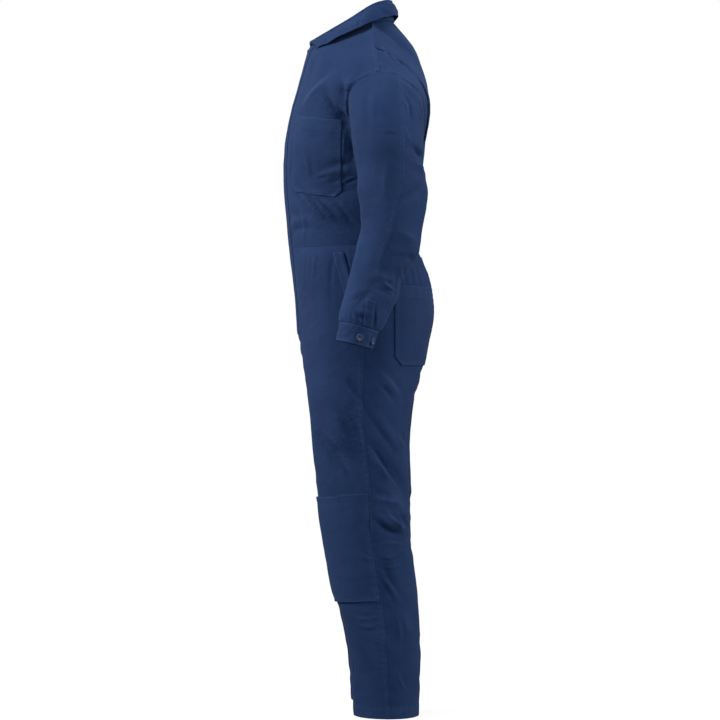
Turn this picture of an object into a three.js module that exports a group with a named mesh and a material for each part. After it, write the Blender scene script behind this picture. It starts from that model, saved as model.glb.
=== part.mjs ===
// A boiler suit as it hangs on a wearer who isn't there: hollow, open at the neck, cuffs and hems.
// Millimetres, +Z up, the front faces -Y and the wearer's left is +X.
// The origin is between the shoulders, just below the neck, where the wearer carries the garment.
import * as THREE from "three";

// Cloth and seams
const CLOTH = 1.6; // wall of one layer of twill, as modelled
const DOUBLE = 2.4; // collar, cuffs and waist casing, two layers
const SEAM_GAP = 0.3; // between two pieces sewn edge to edge
const LAY_GAP = 0.8; // between a panel and what is sewn on it
const HALF_GAP = SEAM_GAP / 2;

// Levels
const WAIST_Z = -470;
const HEM_Z = -1465;
const CASING_TALL = 36; // elastic casing across the back of the waist
const CASING_TOP_Z = WAIST_Z + CASING_TALL / 2;
const CASING_LOW_Z = WAIST_Z - CASING_TALL / 2;

// Sizes of what is sewn on
const FLY = { left: 45, right: -15, top: -37, low: -655, wall: 2.2 };
const CHEST_POCKET = { wide: 145, tall: 160, chamfer: 16, top: -209, edgeY: -66, slope: -0.15 };
const BACK_POCKET = { wide: 150, tall: 168, chamfer: 18, top: -554, edgeY: 47, slope: 0 };
const HIP_MOUTH = { wide: 20, top: -484, low: -640 };
const KNEE = { top: -1000, low: -1226, sideRise: 10, standOff: 3.2 };
const BUTTON = { radius: 7.5, tall: 2.6, rim: 1.1, dish: 0.7, gap: 0.6 };
const VENT = { tall: 52, wide: 20 };
const CUFF = { tall: 40, overlapEdge: 43, underlap: 40, lift: 3.2, buttonDown: 0.62, fastened: 10, spare: 58 };
const GATHERS = 30; // ruches across the back casing
const PLEAT = { from: 0.52, to: 0.76 }; // where the action pleats lie across each half of the back

const NAVY = 0x2b3a60;
const radians = THREE.MathUtils.degToRad;
const { clamp, lerp } = THREE.MathUtils;

// Torso from the waist to the underarm. front and back are the furthest Y, side the furthest X,
// and seam the Y of the side seam.
const TORSO = [
  { z: -470, front: -178, back: 98, side: 176, seam: 2 },
  { z: -425, front: -183, back: 98, side: 180, seam: 8 },
  { z: -375, front: -187, back: 100, side: 184, seam: 17 },
  { z: -332, front: -190, back: 103, side: 186, seam: 28 },
];

// Centre front and centre back in profile.
const FRONT_LINE = [
  { z: -470, y: -178 },
  { z: -375, y: -187 },
  { z: -318, y: -191 },
  { z: -266, y: -189 },
  { z: -214, y: -183 },
  { z: -161, y: -172 },
  { z: -109, y: -157 },
  { z: -57, y: -143 },
  { z: -30, y: -136 },
];
const BACK_LINE = [
  { z: -470, y: 98 },
  { z: -371, y: 100 },
  { z: -266, y: 108 },
  { z: -214, y: 115 },
  { z: -161, y: 122 },
  { z: -120, y: 121 },
  { z: -83, y: 111 },
  { z: -40, y: 96 },
  { z: -4, y: 71 },
  { z: 24, y: 47 },
];

// Neckline, from the centre front (0) over the neck point to the centre back (1).
const NECK_POINT = 0.8;
const NECKLINE = [
  { s: 0, x: HALF_GAP, y: -136, z: -30 },
  { s: 0.12, x: 27, y: -128, z: -26 },
  { s: 0.3, x: 52, y: -101, z: -18 },
  { s: 0.5, x: 69, y: -62, z: -8 },
  { s: 0.68, x: 76, y: -24, z: 3 },
  { s: NECK_POINT, x: 77, y: 2, z: 11 },
  { s: 0.9, x: 60, y: 32, z: 18 },
  { s: 1, x: 0, y: 47, z: 24 },
];

// Armhole seam: turn 0 is the underarm, 0.25 the front, 0.5 the shoulder tip and 0.75 the back.
const ARMHOLE = [
  { turn: 0, x: 186, y: 28, z: -332 },
  { turn: 0.06, x: 186, y: 0, z: -322 },
  { turn: 0.12, x: 187, y: -22, z: -298 },
  { turn: 0.2, x: 190, y: -38, z: -252 },
  { turn: 0.28, x: 197, y: -47, z: -205 },
  { turn: 0.36, x: 210, y: -50, z: -160 },
  { turn: 0.42, x: 222, y: -36, z: -134 },
  { turn: 0.47, x: 232, y: -10, z: -118 },
  { turn: 0.5, x: 236, y: 15, z: -110 },
  { turn: 0.54, x: 235, y: 42, z: -114 },
  { turn: 0.6, x: 225, y: 75, z: -133 },
  { turn: 0.66, x: 211, y: 100, z: -157 },
  { turn: 0.74, x: 198, y: 108, z: -205 },
  { turn: 0.82, x: 190, y: 101, z: -255 },
  { turn: 0.89, x: 187, y: 84, z: -300 },
  { turn: 0.95, x: 186, y: 58, z: -324 },
  { turn: 1, x: 186, y: 28, z: -332 },
];

// Rows of a bodice front: its inner end on the centre front (z) and then on the neckline (s),
// its outer end on the side seam (side z) and then on the armhole (turn).
const FRONT_ROWS = [
  { z: -470, side: -470 },
  { z: -424, side: -413 },
  { z: -378, side: -372 },
  { z: -332, side: -332 },
  { z: -288, turn: 0.05 },
  { z: -246, turn: 0.12 },
  { z: -204, turn: 0.19 },
  { z: -162, turn: 0.25 },
  { z: -122, turn: 0.305 },
  { z: -84, turn: 0.35 },
  { z: -52, turn: 0.38 },
  { s: 0, turn: 0.4 },
  { s: 0.16, turn: 0.422 },
  { s: 0.36, turn: 0.445 },
  { s: 0.58, turn: 0.472 },
  { s: NECK_POINT, turn: 0.5 },
];
const BACK_ROWS = [
  { z: CASING_TOP_Z + SEAM_GAP, side: CASING_TOP_Z + SEAM_GAP },
  { z: -410, side: -413 },
  { z: -365, side: -372 },
  { z: -320, turn: 1 },
  { z: -275, turn: 0.925 },
  { z: -230, turn: 0.86 },
  { z: -185, turn: 0.8 },
  { z: -145, turn: 0.745 },
  { z: -105, turn: 0.69 },
  { z: -70, turn: 0.64 },
  { z: -38, turn: 0.59 },
  { z: -8, turn: 0.545 },
  { z: 24, turn: 0.5 },
];

// Trousers. z is the level at the side seam and inner that at the centre seam or inseam.
// middle is the X of the section's centre, out and in its furthest X, front and back its
// furthest Y, seam and inseam the Y of those seams, and right how far back the right leg lies.
const TROUSERS = [
  { z: -470, inner: -470, middle: 0, in: 0, out: 176, front: -178, back: 98, seam: 2, inseam: 0, right: 0 },
  { z: -500, inner: -500, middle: 0, in: 0, out: 182, front: -174, back: 111, seam: -2, inseam: 0, right: 0 },
  { z: -540, inner: -540, middle: 0, in: 0, out: 187, front: -169, back: 126, seam: -7, inseam: -4, right: 0 },
  { z: -595, inner: -595, middle: 0, in: 0, out: 191, front: -164, back: 133, seam: -11, inseam: -8, right: 0 },
  { z: -645, inner: -645, middle: 8, in: 0, out: 192, front: -160, back: 129, seam: -15, inseam: -12, right: 0 },
  { z: -690, inner: -688, middle: 30, in: 0, out: 192, front: -153, back: 119, seam: -18, inseam: -13, right: 0 },
  { z: -730, inner: -726, middle: 58, in: 0, out: 192, front: -147, back: 109, seam: -19, inseam: -14, right: 1 },
  { z: -762, inner: -751, middle: 81, in: 0, out: 191, front: -143, back: 101, seam: -20, inseam: -15, right: 3 },
  { z: -786, inner: -764, middle: 92, in: 0.4, out: 191, front: -140, back: 94, seam: -20, inseam: -16, right: 6 },
  { z: -806, inner: -770, middle: 96.4, in: 1.8, out: 191, front: -138, back: 88, seam: -20, inseam: -18, right: 8 },
  { z: -850, inner: -815, middle: 98, in: 6, out: 190, front: -132, back: 78, seam: -18, inseam: -26, right: 12 },
  { z: -905, inner: -880, middle: 99.5, in: 11, out: 188, front: -128, back: 74, seam: -11, inseam: -26, right: 10 },
  { z: -960, inner: -945, middle: 101.5, in: 17, out: 186, front: -121, back: 78, seam: -6, inseam: -22, right: 8 },
  { z: -1010, inner: -1002, middle: 103.5, in: 23, out: 184, front: -115, back: 79, seam: -1, inseam: -18, right: 8 },
  { z: -1065, inner: -1062, middle: 105, in: 27, out: 183, front: -108, back: 78, seam: 0, inseam: -14, right: 7 },
  { z: -1120, inner: -1120, middle: 106.5, in: 31, out: 182, front: -98, back: 85, seam: 8, inseam: -6, right: 2 },
  { z: -1190, inner: -1190, middle: 108.5, in: 35, out: 182, front: -85, back: 94, seam: 18, inseam: 4, right: -5 },
  { z: -1228, inner: -1228, middle: 110, in: 37.5, out: 182.5, front: -74, back: 97, seam: 22, inseam: 11, right: -9 },
  { z: -1290, inner: -1290, middle: 112, in: 40, out: 184, front: -55, back: 101, seam: 28, inseam: 22, right: -11 },
  { z: -1360, inner: -1360, middle: 113.5, in: 42, out: 185, front: -46, back: 102, seam: 32, inseam: 28, right: -8 },
  { z: HEM_Z, inner: HEM_Z, middle: 115, in: 44, out: 186, front: -39, back: 98, seam: 38, inseam: 30, right: -6 },
];

// Sleeve rings from the armhole down. x and z are the ring's innermost point, roll and pitch its
// tilt, wide and deep its size, y its centre, and keep how much of the armhole's shape it keeps.
const SLEEVE = [
  { x: 186, z: -332, roll: 76, wide: 228, y: 32, deep: 156, pitch: 0, keep: 1 },
  { x: 188.5, z: -337, roll: 62, wide: 206, y: 32, deep: 152, pitch: 0, keep: 0.62 },
  { x: 190, z: -343, roll: 48, wide: 182, y: 33, deep: 146, pitch: 0, keep: 0.3 },
  { x: 191, z: -351, roll: 35, wide: 160, y: 35, deep: 140, pitch: 0, keep: 0.1 },
  { x: 192, z: -361, roll: 24, wide: 143, y: 38, deep: 139, pitch: 0, keep: 0 },
  { x: 193, z: -379, roll: 14, wide: 133, y: 41, deep: 146, pitch: 0, keep: 0 },
  { x: 195, z: -403, roll: 8, wide: 128, y: 42, deep: 138, pitch: 3, keep: 0 },
  { x: 197, z: -436, roll: 6, wide: 126, y: 40, deep: 128, pitch: 6, keep: 0 },
  { x: 200, z: -468, roll: 5, wide: 124, y: 36, deep: 127, pitch: 9, keep: 0 },
  { x: 203, z: -495, roll: 5, wide: 120, y: 29, deep: 129, pitch: 12, keep: 0 },
  { x: 206, z: -517, roll: 5, wide: 116, y: 18, deep: 116, pitch: 14, keep: 0 },
  { x: 208, z: -538, roll: 5, wide: 112, y: 8, deep: 106, pitch: 15, keep: 0 },
  { x: 211, z: -570, roll: 5, wide: 108, y: 1, deep: 108, pitch: 15, keep: 0 },
  { x: 216, z: -604, roll: 5, wide: 104, y: -12, deep: 100, pitch: 15, keep: 0 },
  { x: 219, z: -630, roll: 4, wide: 101, y: -21, deep: 97, pitch: 14, keep: 0 },
  { x: 222, z: -641, roll: 1, wide: 97, y: -28, deep: 87, pitch: 14, keep: 0 },
];
// Angle of the back sleeve seam, degrees from the outermost line towards the back, per ring.
const SLEEVE_SEAM = [27, 27, 27, 26, 24, 18, 10, 5, 1, -3, 0, 8, 15, 20, 28, 34];
const INNER_SEAM = 200; // the other sleeve seam, on the side that faces the body

// Collar, from the centre back (0) to the end of the collar (1): the fold and the leaf's edge.
const COLLAR = [
  { s: 0, rollX: 0, rollY: 41, rollZ: 69, edgeX: 0, edgeY: 56, edgeZ: 38 },
  { s: 0.2, rollX: 46, rollY: 29, rollZ: 63, edgeX: 60, edgeY: 45, edgeZ: 31 },
  { s: 0.38, rollX: 69, rollY: -1, rollZ: 50, edgeX: 97, edgeY: 3, edgeZ: 14 },
  { s: 0.6, rollX: 67, rollY: -48, rollZ: 21, edgeX: 108, edgeY: -42, edgeZ: -7 },
  { s: 0.82, rollX: 49, rollY: -95, rollZ: -4, edgeX: 103, edgeY: -84, edgeZ: -28 },
  { s: 1, rollX: 16, rollY: -134, rollZ: -22, edgeX: 86, edgeY: -117, edgeZ: -47 },
];
const COLLAR_END = 0.05; // where on the neckline the collar ends, short of the centre front

// The largest folds. Each is a soft trough (depth under 0) or ridge along a line.
const FOLDS = [
  { on: "body", from: [172, -98, -165], to: [200, -44, -240], wide: 24, depth: -8 },
  { on: "body", from: [70, -158, -178], to: [178, -80, -118], wide: 26, depth: 6 },
  { on: "body", from: [150, -128, -372], to: [184, -20, -350], wide: 22, depth: -6 },
  { on: "body", from: [120, -145, -398], to: [180, -20, -440], wide: 22, depth: -5 },
  { on: "body", from: [-166, -100, -164], to: [-198, -44, -236], wide: 25, depth: -7 },
  { on: "body", from: [-70, -158, -186], to: [-178, -80, -124], wide: 27, depth: 5 },
  { on: "body", from: [-140, -134, -378], to: [-184, -20, -366], wide: 22, depth: -5 },
  { on: "body", from: [60, 104, -330], to: [170, 60, -400], wide: 28, depth: -5 },
  { on: "body", from: [-70, 104, -346], to: [-172, 58, -396], wide: 28, depth: -5 },
  { on: "legs", from: [110, -120, -870], to: [188, -14, -950], wide: 26, depth: -6 },
  { on: "legs", from: [160, -70, -800], to: [192, -20, -890], wide: 24, depth: -5 },
  { on: "legs", from: [-112, -120, -850], to: [-190, -14, -930], wide: 27, depth: -6 },
  { on: "legs", from: [176, 20, -900], to: [120, 74, -1000], wide: 24, depth: -6 },
  { on: "legs", from: [182, 12, -955], to: [130, 76, -1050], wide: 24, depth: 6 },
  { on: "legs", from: [170, 30, -1060], to: [100, 80, -1090], wide: 24, depth: -7 },
  { on: "legs", from: [-176, 24, -910], to: [-116, 80, -1000], wide: 25, depth: -6 },
  { on: "legs", from: [-168, 30, -1062], to: [-100, 84, -1084], wide: 25, depth: -6 },
  { on: "sleeves", from: [306, 84, -287], to: [256, 107, -285], wide: 20, depth: -8 },
  { on: "sleeves", from: [316, 60, -528], to: [268, 80, -522], wide: 20, depth: -7 },
  { on: "sleeves", from: [-306, 84, -296], to: [-256, 107, -292], wide: 21, depth: -7 },
  { on: "sleeves", from: [-316, 58, -520], to: [-268, 82, -530], wide: 20, depth: -7 },
  { on: "sleeves", from: [322, 14, -552], to: [300, -44, -600], wide: 22, depth: -5 },
  { on: "sleeves", from: [-322, 12, -545], to: [-300, -42, -588], wide: 23, depth: -5 },
];

// A column's value on the smooth curve through a table's rows.
function smoothAt(rows, by, column, at) {
  const last = rows.length - 1;
  let i = 0;
  const rising = rows[last][by] > rows[0][by];
  while (i < last - 1 && (rising ? at > rows[i + 1][by] : at < rows[i + 1][by])) i += 1;
  const slope = (k) => {
    const low = rows[Math.max(k - 1, 0)];
    const high = rows[Math.min(k + 1, last)];
    return (high[column] - low[column]) / (high[by] - low[by]);
  };
  const span = rows[i + 1][by] - rows[i][by];
  const t = clamp((at - rows[i][by]) / span, 0, 1);
  const t2 = t * t;
  const t3 = t2 * t;
  return (
    (2 * t3 - 3 * t2 + 1) * rows[i][column] +
    (t3 - 2 * t2 + t) * span * slope(i) +
    (3 * t2 - 2 * t3) * rows[i + 1][column] +
    (t3 - t2) * span * slope(i + 1)
  );
}

function smoothPoint(rows, by, at) {
  return new THREE.Vector3(...["x", "y", "z"].map((axis) => smoothAt(rows, by, axis, at)));
}

// Rises from 0 at low to 1 at high, or falls where low is the higher of the two.
function smoothStep(low, high, at) {
  const t = clamp((at - low) / (high - low), 0, 1);
  return t * t * (3 - 2 * t);
}

// The outward shift that the folds of one region give to a point.
function foldShift(region, point) {
  let shift = 0;
  for (const fold of FOLDS) {
    if (fold.on !== region) continue;
    const start = new THREE.Vector3(...fold.from);
    const line = new THREE.Line3(start, new THREE.Vector3(...fold.to));
    const share = line.closestPointToPointParameter(point, true);
    const near = line.at(share, new THREE.Vector3()).distanceTo(point) / fold.wide;
    shift += fold.depth * Math.exp(-near * near) * (0.45 + 0.55 * Math.sin(Math.PI * share));
  }
  return shift;
}

// Unit normals of a grid of points, turned away from the point inside.
function gridNormals(grid, inside) {
  const rows = grid.length;
  const columns = grid[0].length;
  const normals = grid.map((row, i) =>
    row.map((_, j) => {
      const across = new THREE.Vector3().subVectors(
        grid[i][Math.min(j + 1, columns - 1)],
        grid[i][Math.max(j - 1, 0)],
      );
      const up = new THREE.Vector3().subVectors(
        grid[Math.min(i + 1, rows - 1)][j],
        grid[Math.max(i - 1, 0)][j],
      );
      return across.cross(up).normalize();
    }),
  );
  const i = Math.floor(rows / 2);
  const j = Math.floor(columns / 2);
  const outward = new THREE.Vector3().subVectors(grid[i][j], inside);
  if (normals[i][j].dot(outward) < 0) normals.flat().forEach((n) => n.negate());
  return normals;
}

function moved(grid, normals, distance) {
  const by = typeof distance === "function" ? distance : () => distance;
  return grid.map((row, i) => row.map((p, j) => p.clone().addScaledVector(normals[i][j], by(i, j))));
}

// A closed wall between an outer and an inner grid of the same size.
function wallGeometry(outer, inner) {
  const rows = outer.length;
  const columns = outer[0].length;
  const points = [...outer.flat(), ...inner.flat()];
  const half = rows * columns;
  const at = (i, j, side) => side * half + i * columns + j;
  const index = [];
  const quad = (a, b, c, d) => index.push(a, b, c, a, c, d);
  for (let i = 0; i < rows - 1; i += 1)
    for (let j = 0; j < columns - 1; j += 1) {
      quad(at(i, j, 0), at(i, j + 1, 0), at(i + 1, j + 1, 0), at(i + 1, j, 0));
      index.push(at(i, j, 1), at(i + 1, j + 1, 1), at(i, j + 1, 1));
      index.push(at(i, j, 1), at(i + 1, j, 1), at(i + 1, j + 1, 1));
    }
  for (let j = 0; j < columns - 1; j += 1) {
    quad(at(0, j, 0), at(0, j, 1), at(0, j + 1, 1), at(0, j + 1, 0));
    quad(at(rows - 1, j + 1, 0), at(rows - 1, j + 1, 1), at(rows - 1, j, 1), at(rows - 1, j, 0));
  }
  for (let i = 0; i < rows - 1; i += 1) {
    quad(at(i + 1, 0, 0), at(i + 1, 0, 1), at(i, 0, 1), at(i, 0, 0));
    quad(at(i, columns - 1, 0), at(i, columns - 1, 1), at(i + 1, columns - 1, 1), at(i + 1, columns - 1, 0));
  }
  const geometry = new THREE.BufferGeometry();
  geometry.setAttribute("position", new THREE.Float32BufferAttribute(points.flatMap((p) => p.toArray()), 3));
  geometry.setIndex(index);
  if (signedVolume(geometry) < 0) geometry.setIndex(index.map((_, k) => index[k - (k % 3) + 2 - (k % 3)]));
  geometry.computeVertexNormals();
  return geometry;
}

function signedVolume(geometry) {
  const p = geometry.getAttribute("position");
  const [a, b, c] = [0, 1, 2].map(() => new THREE.Vector3());
  let six = 0;
  for (let k = 0; k < geometry.index.count; k += 3) {
    [a, b, c].forEach((v, n) => v.fromBufferAttribute(p, geometry.index.getX(k + n)));
    six += a.dot(b.clone().cross(c));
  }
  return six / 6;
}

const suit = new THREE.Group();

function addMesh(name, geometry) {
  const material = new THREE.MeshStandardMaterial({ color: NAVY, roughness: 0.85, metalness: 0 });
  const mesh = new THREE.Mesh(geometry, material);
  mesh.name = name;
  suit.add(mesh);
  return mesh;
}

// A cloth panel from a surface: point(u, v) for u in us and v in vs, folded and then thickened.
// square(u, v, normal) turns the wall along a seam, so that both its panels turn it alike, and
// keep(u, v) is how much of the region's folds a point takes.
function addPanel(name, us, vs, point, inside, options = {}) {
  const { wall = CLOTH, region = "", square = () => {}, keep = () => 1 } = options;
  const plain = vs.map((v) => us.map((u) => point(u, v)));
  const squared = (grid) => {
    const normals = gridNormals(grid, inside);
    vs.forEach((v, i) => us.forEach((u, j) => square(u, v, normals[i][j])));
    normals.flat().forEach((n) => n.normalize());
    return normals;
  };
  const shift = (i, j) => keep(us[j], vs[i]) * foldShift(region, plain[i][j]);
  const grid = moved(plain, squared(plain), shift);
  const normals = squared(grid);
  addMesh(name, wallGeometry(grid, moved(grid, normals, -wall)));
  return { us, vs, grid, normals };
}

// The foremost point of a panel at x, z, with its normal.
function facing(panel, x, z) {
  let best = null;
  const { grid, normals } = panel;
  const look = (...corners) => {
    const [a, b, c] = corners.map(([i, j]) => grid[i][j]);
    const det = (b.x - a.x) * (c.z - a.z) - (c.x - a.x) * (b.z - a.z);
    const s = ((x - a.x) * (c.z - a.z) - (c.x - a.x) * (z - a.z)) / det;
    const t = ((b.x - a.x) * (z - a.z) - (x - a.x) * (b.z - a.z)) / det;
    if (!(s >= -1e-6 && t >= -1e-6 && s + t <= 1 + 1e-6)) return;
    const blend = (list) => {
      const [f, g, h] = corners.map(([i, j]) => list[i][j]);
      return f.clone().multiplyScalar(1 - s - t).addScaledVector(g, s).addScaledVector(h, t);
    };
    const found = { point: blend(grid), normal: blend(normals).normalize() };
    if (!best || found.point.y < best.point.y) best = found;
  };
  for (let i = 0; i < grid.length - 1; i += 1)
    for (let j = 0; j < grid[0].length - 1; j += 1) {
      look([i, j], [i, j + 1], [i + 1, j + 1]);
      look([i, j], [i + 1, j + 1], [i + 1, j]);
    }
  return best;
}

// The highest level of a panel at x, y, or nothing where it has none.
function levelUnder(panel, x, y) {
  let best = -Infinity;
  const { grid } = panel;
  const rise = (a, b, c) => {
    const det = (b.x - a.x) * (c.y - a.y) - (c.x - a.x) * (b.y - a.y);
    const s = ((x - a.x) * (c.y - a.y) - (c.x - a.x) * (y - a.y)) / det;
    const t = ((b.x - a.x) * (y - a.y) - (x - a.x) * (b.y - a.y)) / det;
    if (s >= 0 && t >= 0 && s + t <= 1) best = Math.max(best, a.z + s * (b.z - a.z) + t * (c.z - a.z));
  };
  for (let i = 0; i < grid.length - 1; i += 1)
    for (let j = 0; j < grid[0].length - 1; j += 1) {
      rise(grid[i][j], grid[i][j + 1], grid[i + 1][j + 1]);
      rise(grid[i][j], grid[i + 1][j + 1], grid[i + 1][j]);
    }
  return best;
}

// The point and normal on a panel's own facets at u, v.
function onPanel(panel, u, v) {
  const cell = (list, at) => {
    let k = 0;
    while (k < list.length - 2 && at > list[k + 1]) k += 1;
    return { k, t: (at - list[k]) / (list[k + 1] - list[k]) };
  };
  const c = cell(panel.us, u);
  const r = cell(panel.vs, v);
  const blend = (grid) => {
    const [a, b] = [grid[r.k][c.k], grid[r.k + 1][c.k + 1]];
    const corner = c.t >= r.t ? grid[r.k][c.k + 1] : grid[r.k + 1][c.k];
    const [high, low] = [Math.max(c.t, r.t), Math.min(c.t, r.t)];
    return a
      .clone()
      .multiplyScalar(1 - high)
      .addScaledVector(corner, high - low)
      .addScaledVector(b, low);
  };
  return { point: blend(panel.grid), normal: blend(panel.normals).normalize() };
}

// A piece sewn on a panel, from the panel's own points. places holds rows of {panel, u, v}.
function addOverlay(name, places, { wall = CLOTH, gap = LAY_GAP, lift = () => 0 } = {}) {
  const found = places.map((row) => row.map((p) => (p.point ? p : onPanel(p.panel, p.u, p.v))));
  const at = (extra) =>
    found.map((row, i) =>
      row.map((f, j) => f.point.clone().addScaledVector(f.normal, gap + lift(i, j) + extra)),
    );
  addMesh(name, wallGeometry(at(wall), at(0)));
}

// The panel's own grid lines between two values, with those two as ends.
function linesBetween(lines, low, high) {
  const near = 0.2 * (lines[1] - lines[0]);
  return [low, ...lines.filter((x) => x > low + near && x < high - near), high];
}

function evenly(count, low = 0, high = 1) {
  return Array.from({ length: count }, (_, k) => lerp(low, high, k / (count - 1)));
}

// The v at which a measure that falls or rises along v reaches a value.
function solve(measure, wanted, low = 0, high = 1) {
  const rising = measure(high) > measure(low);
  for (let k = 0; k < 40; k += 1) {
    const middle = (low + high) / 2;
    if (measure(middle) < wanted === rising) low = middle;
    else high = middle;
  }
  return (low + high) / 2;
}

// Bodice

function bodiceEnds(row, line) {
  const outer =
    row.turn === undefined
      ? new THREE.Vector3(smoothAt(TORSO, "z", "side", row.side), smoothAt(TORSO, "z", "seam", row.side), row.side)
      : smoothPoint(ARMHOLE, "turn", row.turn);
  const inner =
    row.s === undefined
      ? new THREE.Vector3(0, smoothAt(line, "z", "y", row.z), row.z)
      : smoothPoint(NECKLINE, "s", row.s);
  return { inner, outer };
}

// A point across a bodice row: the section turns from facing front or back to facing sideways,
// and towards the shoulder it straightens.
const ROW_DROP = 1.35; // how late along a row its level falls
const STRAIGHT_FROM = 0.5;
const STRAIGHTEST = 0.8;
function acrossRow({ inner, outer }, u, v) {
  const angle = (Math.PI / 2) * u;
  const straight = STRAIGHTEST * smoothStep(STRAIGHT_FROM, 1, v);
  return new THREE.Vector3(
    lerp(inner.x, outer.x, lerp(Math.sin(angle), u, straight)),
    lerp(outer.y, inner.y, lerp(Math.cos(angle), 1 - u, straight)),
    lerp(inner.z, outer.z, u ** lerp(ROW_DROP, 1.05, straight)),
  );
}

// Rows of ends, read smoothly at v between 0 and 1.
function rowTable(rows, line) {
  const last = rows.length - 1;
  const ends = rows.map((row) => bodiceEnds(row, line));
  const columns = ends.map(({ inner, outer }, k) => ({
    v: k / last,
    ix: inner.x,
    iy: inner.y,
    iz: inner.z,
    ox: outer.x,
    oy: outer.y,
    oz: outer.z,
  }));
  const read = (v, keys) => new THREE.Vector3(...keys.map((key) => smoothAt(columns, "v", key, v)));
  return (v) => ({ inner: read(v, ["ix", "iy", "iz"]), outer: read(v, ["ox", "oy", "oz"]) });
}

const frontRow = rowTable(FRONT_ROWS, FRONT_LINE);
const backRow = rowTable(BACK_ROWS, BACK_LINE);
const CHEST_INSIDE = new THREE.Vector3(0, -20, -250);

const FRONT_NECK_V = 11 / 15; // where the centre front ends and the neckline begins
const FRONT_SIDE_V = 3.5 / 15; // where the side seam ends and the armhole begins
const BACK_SIDE_V = 3.5 / 12;

// Along the shoulder seam both panels' walls stand in the plane of the seam.
function squareShoulder(normal, side) {
  const row = frontRow(1);
  const away = row.outer.clone().sub(row.inner).cross(new THREE.Vector3(0, 0, 1)).normalize();
  away.y *= side;
  normal.addScaledVector(away, -normal.dot(away));
}

function bodiceFront(side) {
  const us = [0, 0.1, 0.2, 0.31, 0.42, 0.53, 0.64, 0.74, 0.83, 0.92, 1];
  const vs = evenly(FRONT_ROWS.length);
  return addPanel(
    side > 0 ? "bodice_front_left" : "bodice_front_right",
    us,
    vs,
    (u, v) => {
      const row = frontRow(v);
      row.inner.x = Math.max(row.inner.x, HALF_GAP);
      const p = acrossRow(row, u, v);
      if (u === 1 && v < FRONT_SIDE_V) p.y -= HALF_GAP;
      if (v === 1) p.y -= 2 * HALF_GAP;
      return p.multiply(new THREE.Vector3(side, 1, 1));
    },
    CHEST_INSIDE.clone().setX(side * 60),
    {
      region: "body",
      keep: (u, v) => smoothStep(0, 0.08, v) * (v > 0.95 || u === 1 ? 0 : 1),
      square: (u, v, normal) => {
        if (v === 1) squareShoulder(normal, side);
        else if (u === 0 && v < FRONT_NECK_V + 0.01) normal.x = 0;
        else if (u === 1 && v < FRONT_SIDE_V) normal.set(side, 0, 0);
        if (v === 0) normal.z = 0;
      },
    },
  );
}

// The back's top edge: the neckline and then the shoulder seam.
const NECK_SHARE = 0.3;
function backTop(u) {
  if (u <= NECK_SHARE) return smoothPoint(NECKLINE, "s", lerp(1, NECK_POINT, u / NECK_SHARE));
  return acrossRow(frontRow(1), (u - NECK_SHARE) / (1 - NECK_SHARE), 1);
}

// An action pleat in section. The cloth runs out to a fold, back under itself, and out again.
// share is how far across the pleat a point lies, rise how far it stands off the back, and
// sunk the same at the pleat's two ends, where a seam holds it down.
const PLEAT_SHAPE = [
  { share: 0, rise: 0, sunk: 0 },
  { share: 0.23, rise: 3.2, sunk: 0.4 },
  { share: 0.45, rise: 5.8, sunk: 0.7 },
  { share: 0.7, rise: 6.2, sunk: 0.7 },
  { share: 0.76, rise: 4.3, sunk: -1.2 },
  { share: 0.7, rise: 2.5, sunk: -3 },
  { share: 0.48, rise: 2.3, sunk: -3.2 },
  { share: 0.452, rise: 1.95, sunk: -3.55 },
  { share: 0.48, rise: 1.6, sunk: -3.9 },
  { share: 0.7, rise: 1.2, sunk: -4.3 },
  { share: 1, rise: 0, sunk: 0 },
];
const PLEAT_HELD = 0.14; // how far up the back the waist seam holds it down
const PLEAT_OPENS = 0.62; // from here up it closes
const PLEAT_CLOSED = 0.78; // and above this it lies shut, up to the shoulder seam

function backSurface(u, v) {
  const p = acrossRow(backRow(v), u, v);
  const top = backTop(u).sub(acrossRow(backRow(1), u, 1));
  return p.addScaledVector(top, smoothStep(0.62, 1, v));
}

function bodiceBack() {
  const plain = (u) => ({ u, rise: 0, sunk: 0 });
  const pleat = PLEAT_SHAPE.map((row) => ({ ...row, u: lerp(PLEAT.from, PLEAT.to, row.share) }));
  const half = [...[0, 0.1, 0.2, NECK_SHARE, 0.42].map(plain), ...pleat, ...[0.84, 0.92, 1].map(plain)];
  const columns = half.length - 1;
  const us = Array.from({ length: 2 * columns + 1 }, (_, k) => k - columns);
  const vs = evenly(BACK_ROWS.length);
  return addPanel(
    "bodice_back",
    us,
    vs,
    (column, v) => {
      const { u, rise, sunk } = half[Math.abs(column)];
      const held = Math.max(smoothStep(PLEAT_OPENS, PLEAT_CLOSED, v), smoothStep(PLEAT_HELD, 0, v));
      const off = lerp(rise, sunk, held);
      const p = backSurface(u, v);
      if (u === 1 && v < BACK_SIDE_V) p.y += HALF_GAP;
      if (v === 1 && u > NECK_SHARE) p.y += 2 * HALF_GAP;
      if (off !== 0) {
        const across = backSurface(u + 0.01, v).sub(backSurface(u - 0.01, v));
        const up = backSurface(u, Math.min(v + 0.02, 1)).sub(backSurface(u, Math.max(v - 0.02, 0)));
        const outward = across.cross(up).normalize().negate();
        if (v === 1) squareShoulder(outward, 1);
        p.addScaledVector(outward.normalize(), off);
      }
      return p.multiply(new THREE.Vector3(Math.sign(column) || 1, 1, 1));
    },
    CHEST_INSIDE,
    {
      region: "body",
      keep: (column, v) => smoothStep(0, 0.1, v) * (v > 0.95 || Math.abs(column) === columns ? 0 : 1),
      square: (column, v, normal) => {
        const { u } = half[Math.abs(column)];
        const side = Math.sign(column) || 1;
        if (v === 1 && u >= NECK_SHARE) squareShoulder(normal, side);
        else if (u === 1 && v < BACK_SIDE_V) normal.set(side, 0, 0);
        if (v === 0) normal.z = 0;
      },
    },
  );
}

// Trousers

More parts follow.
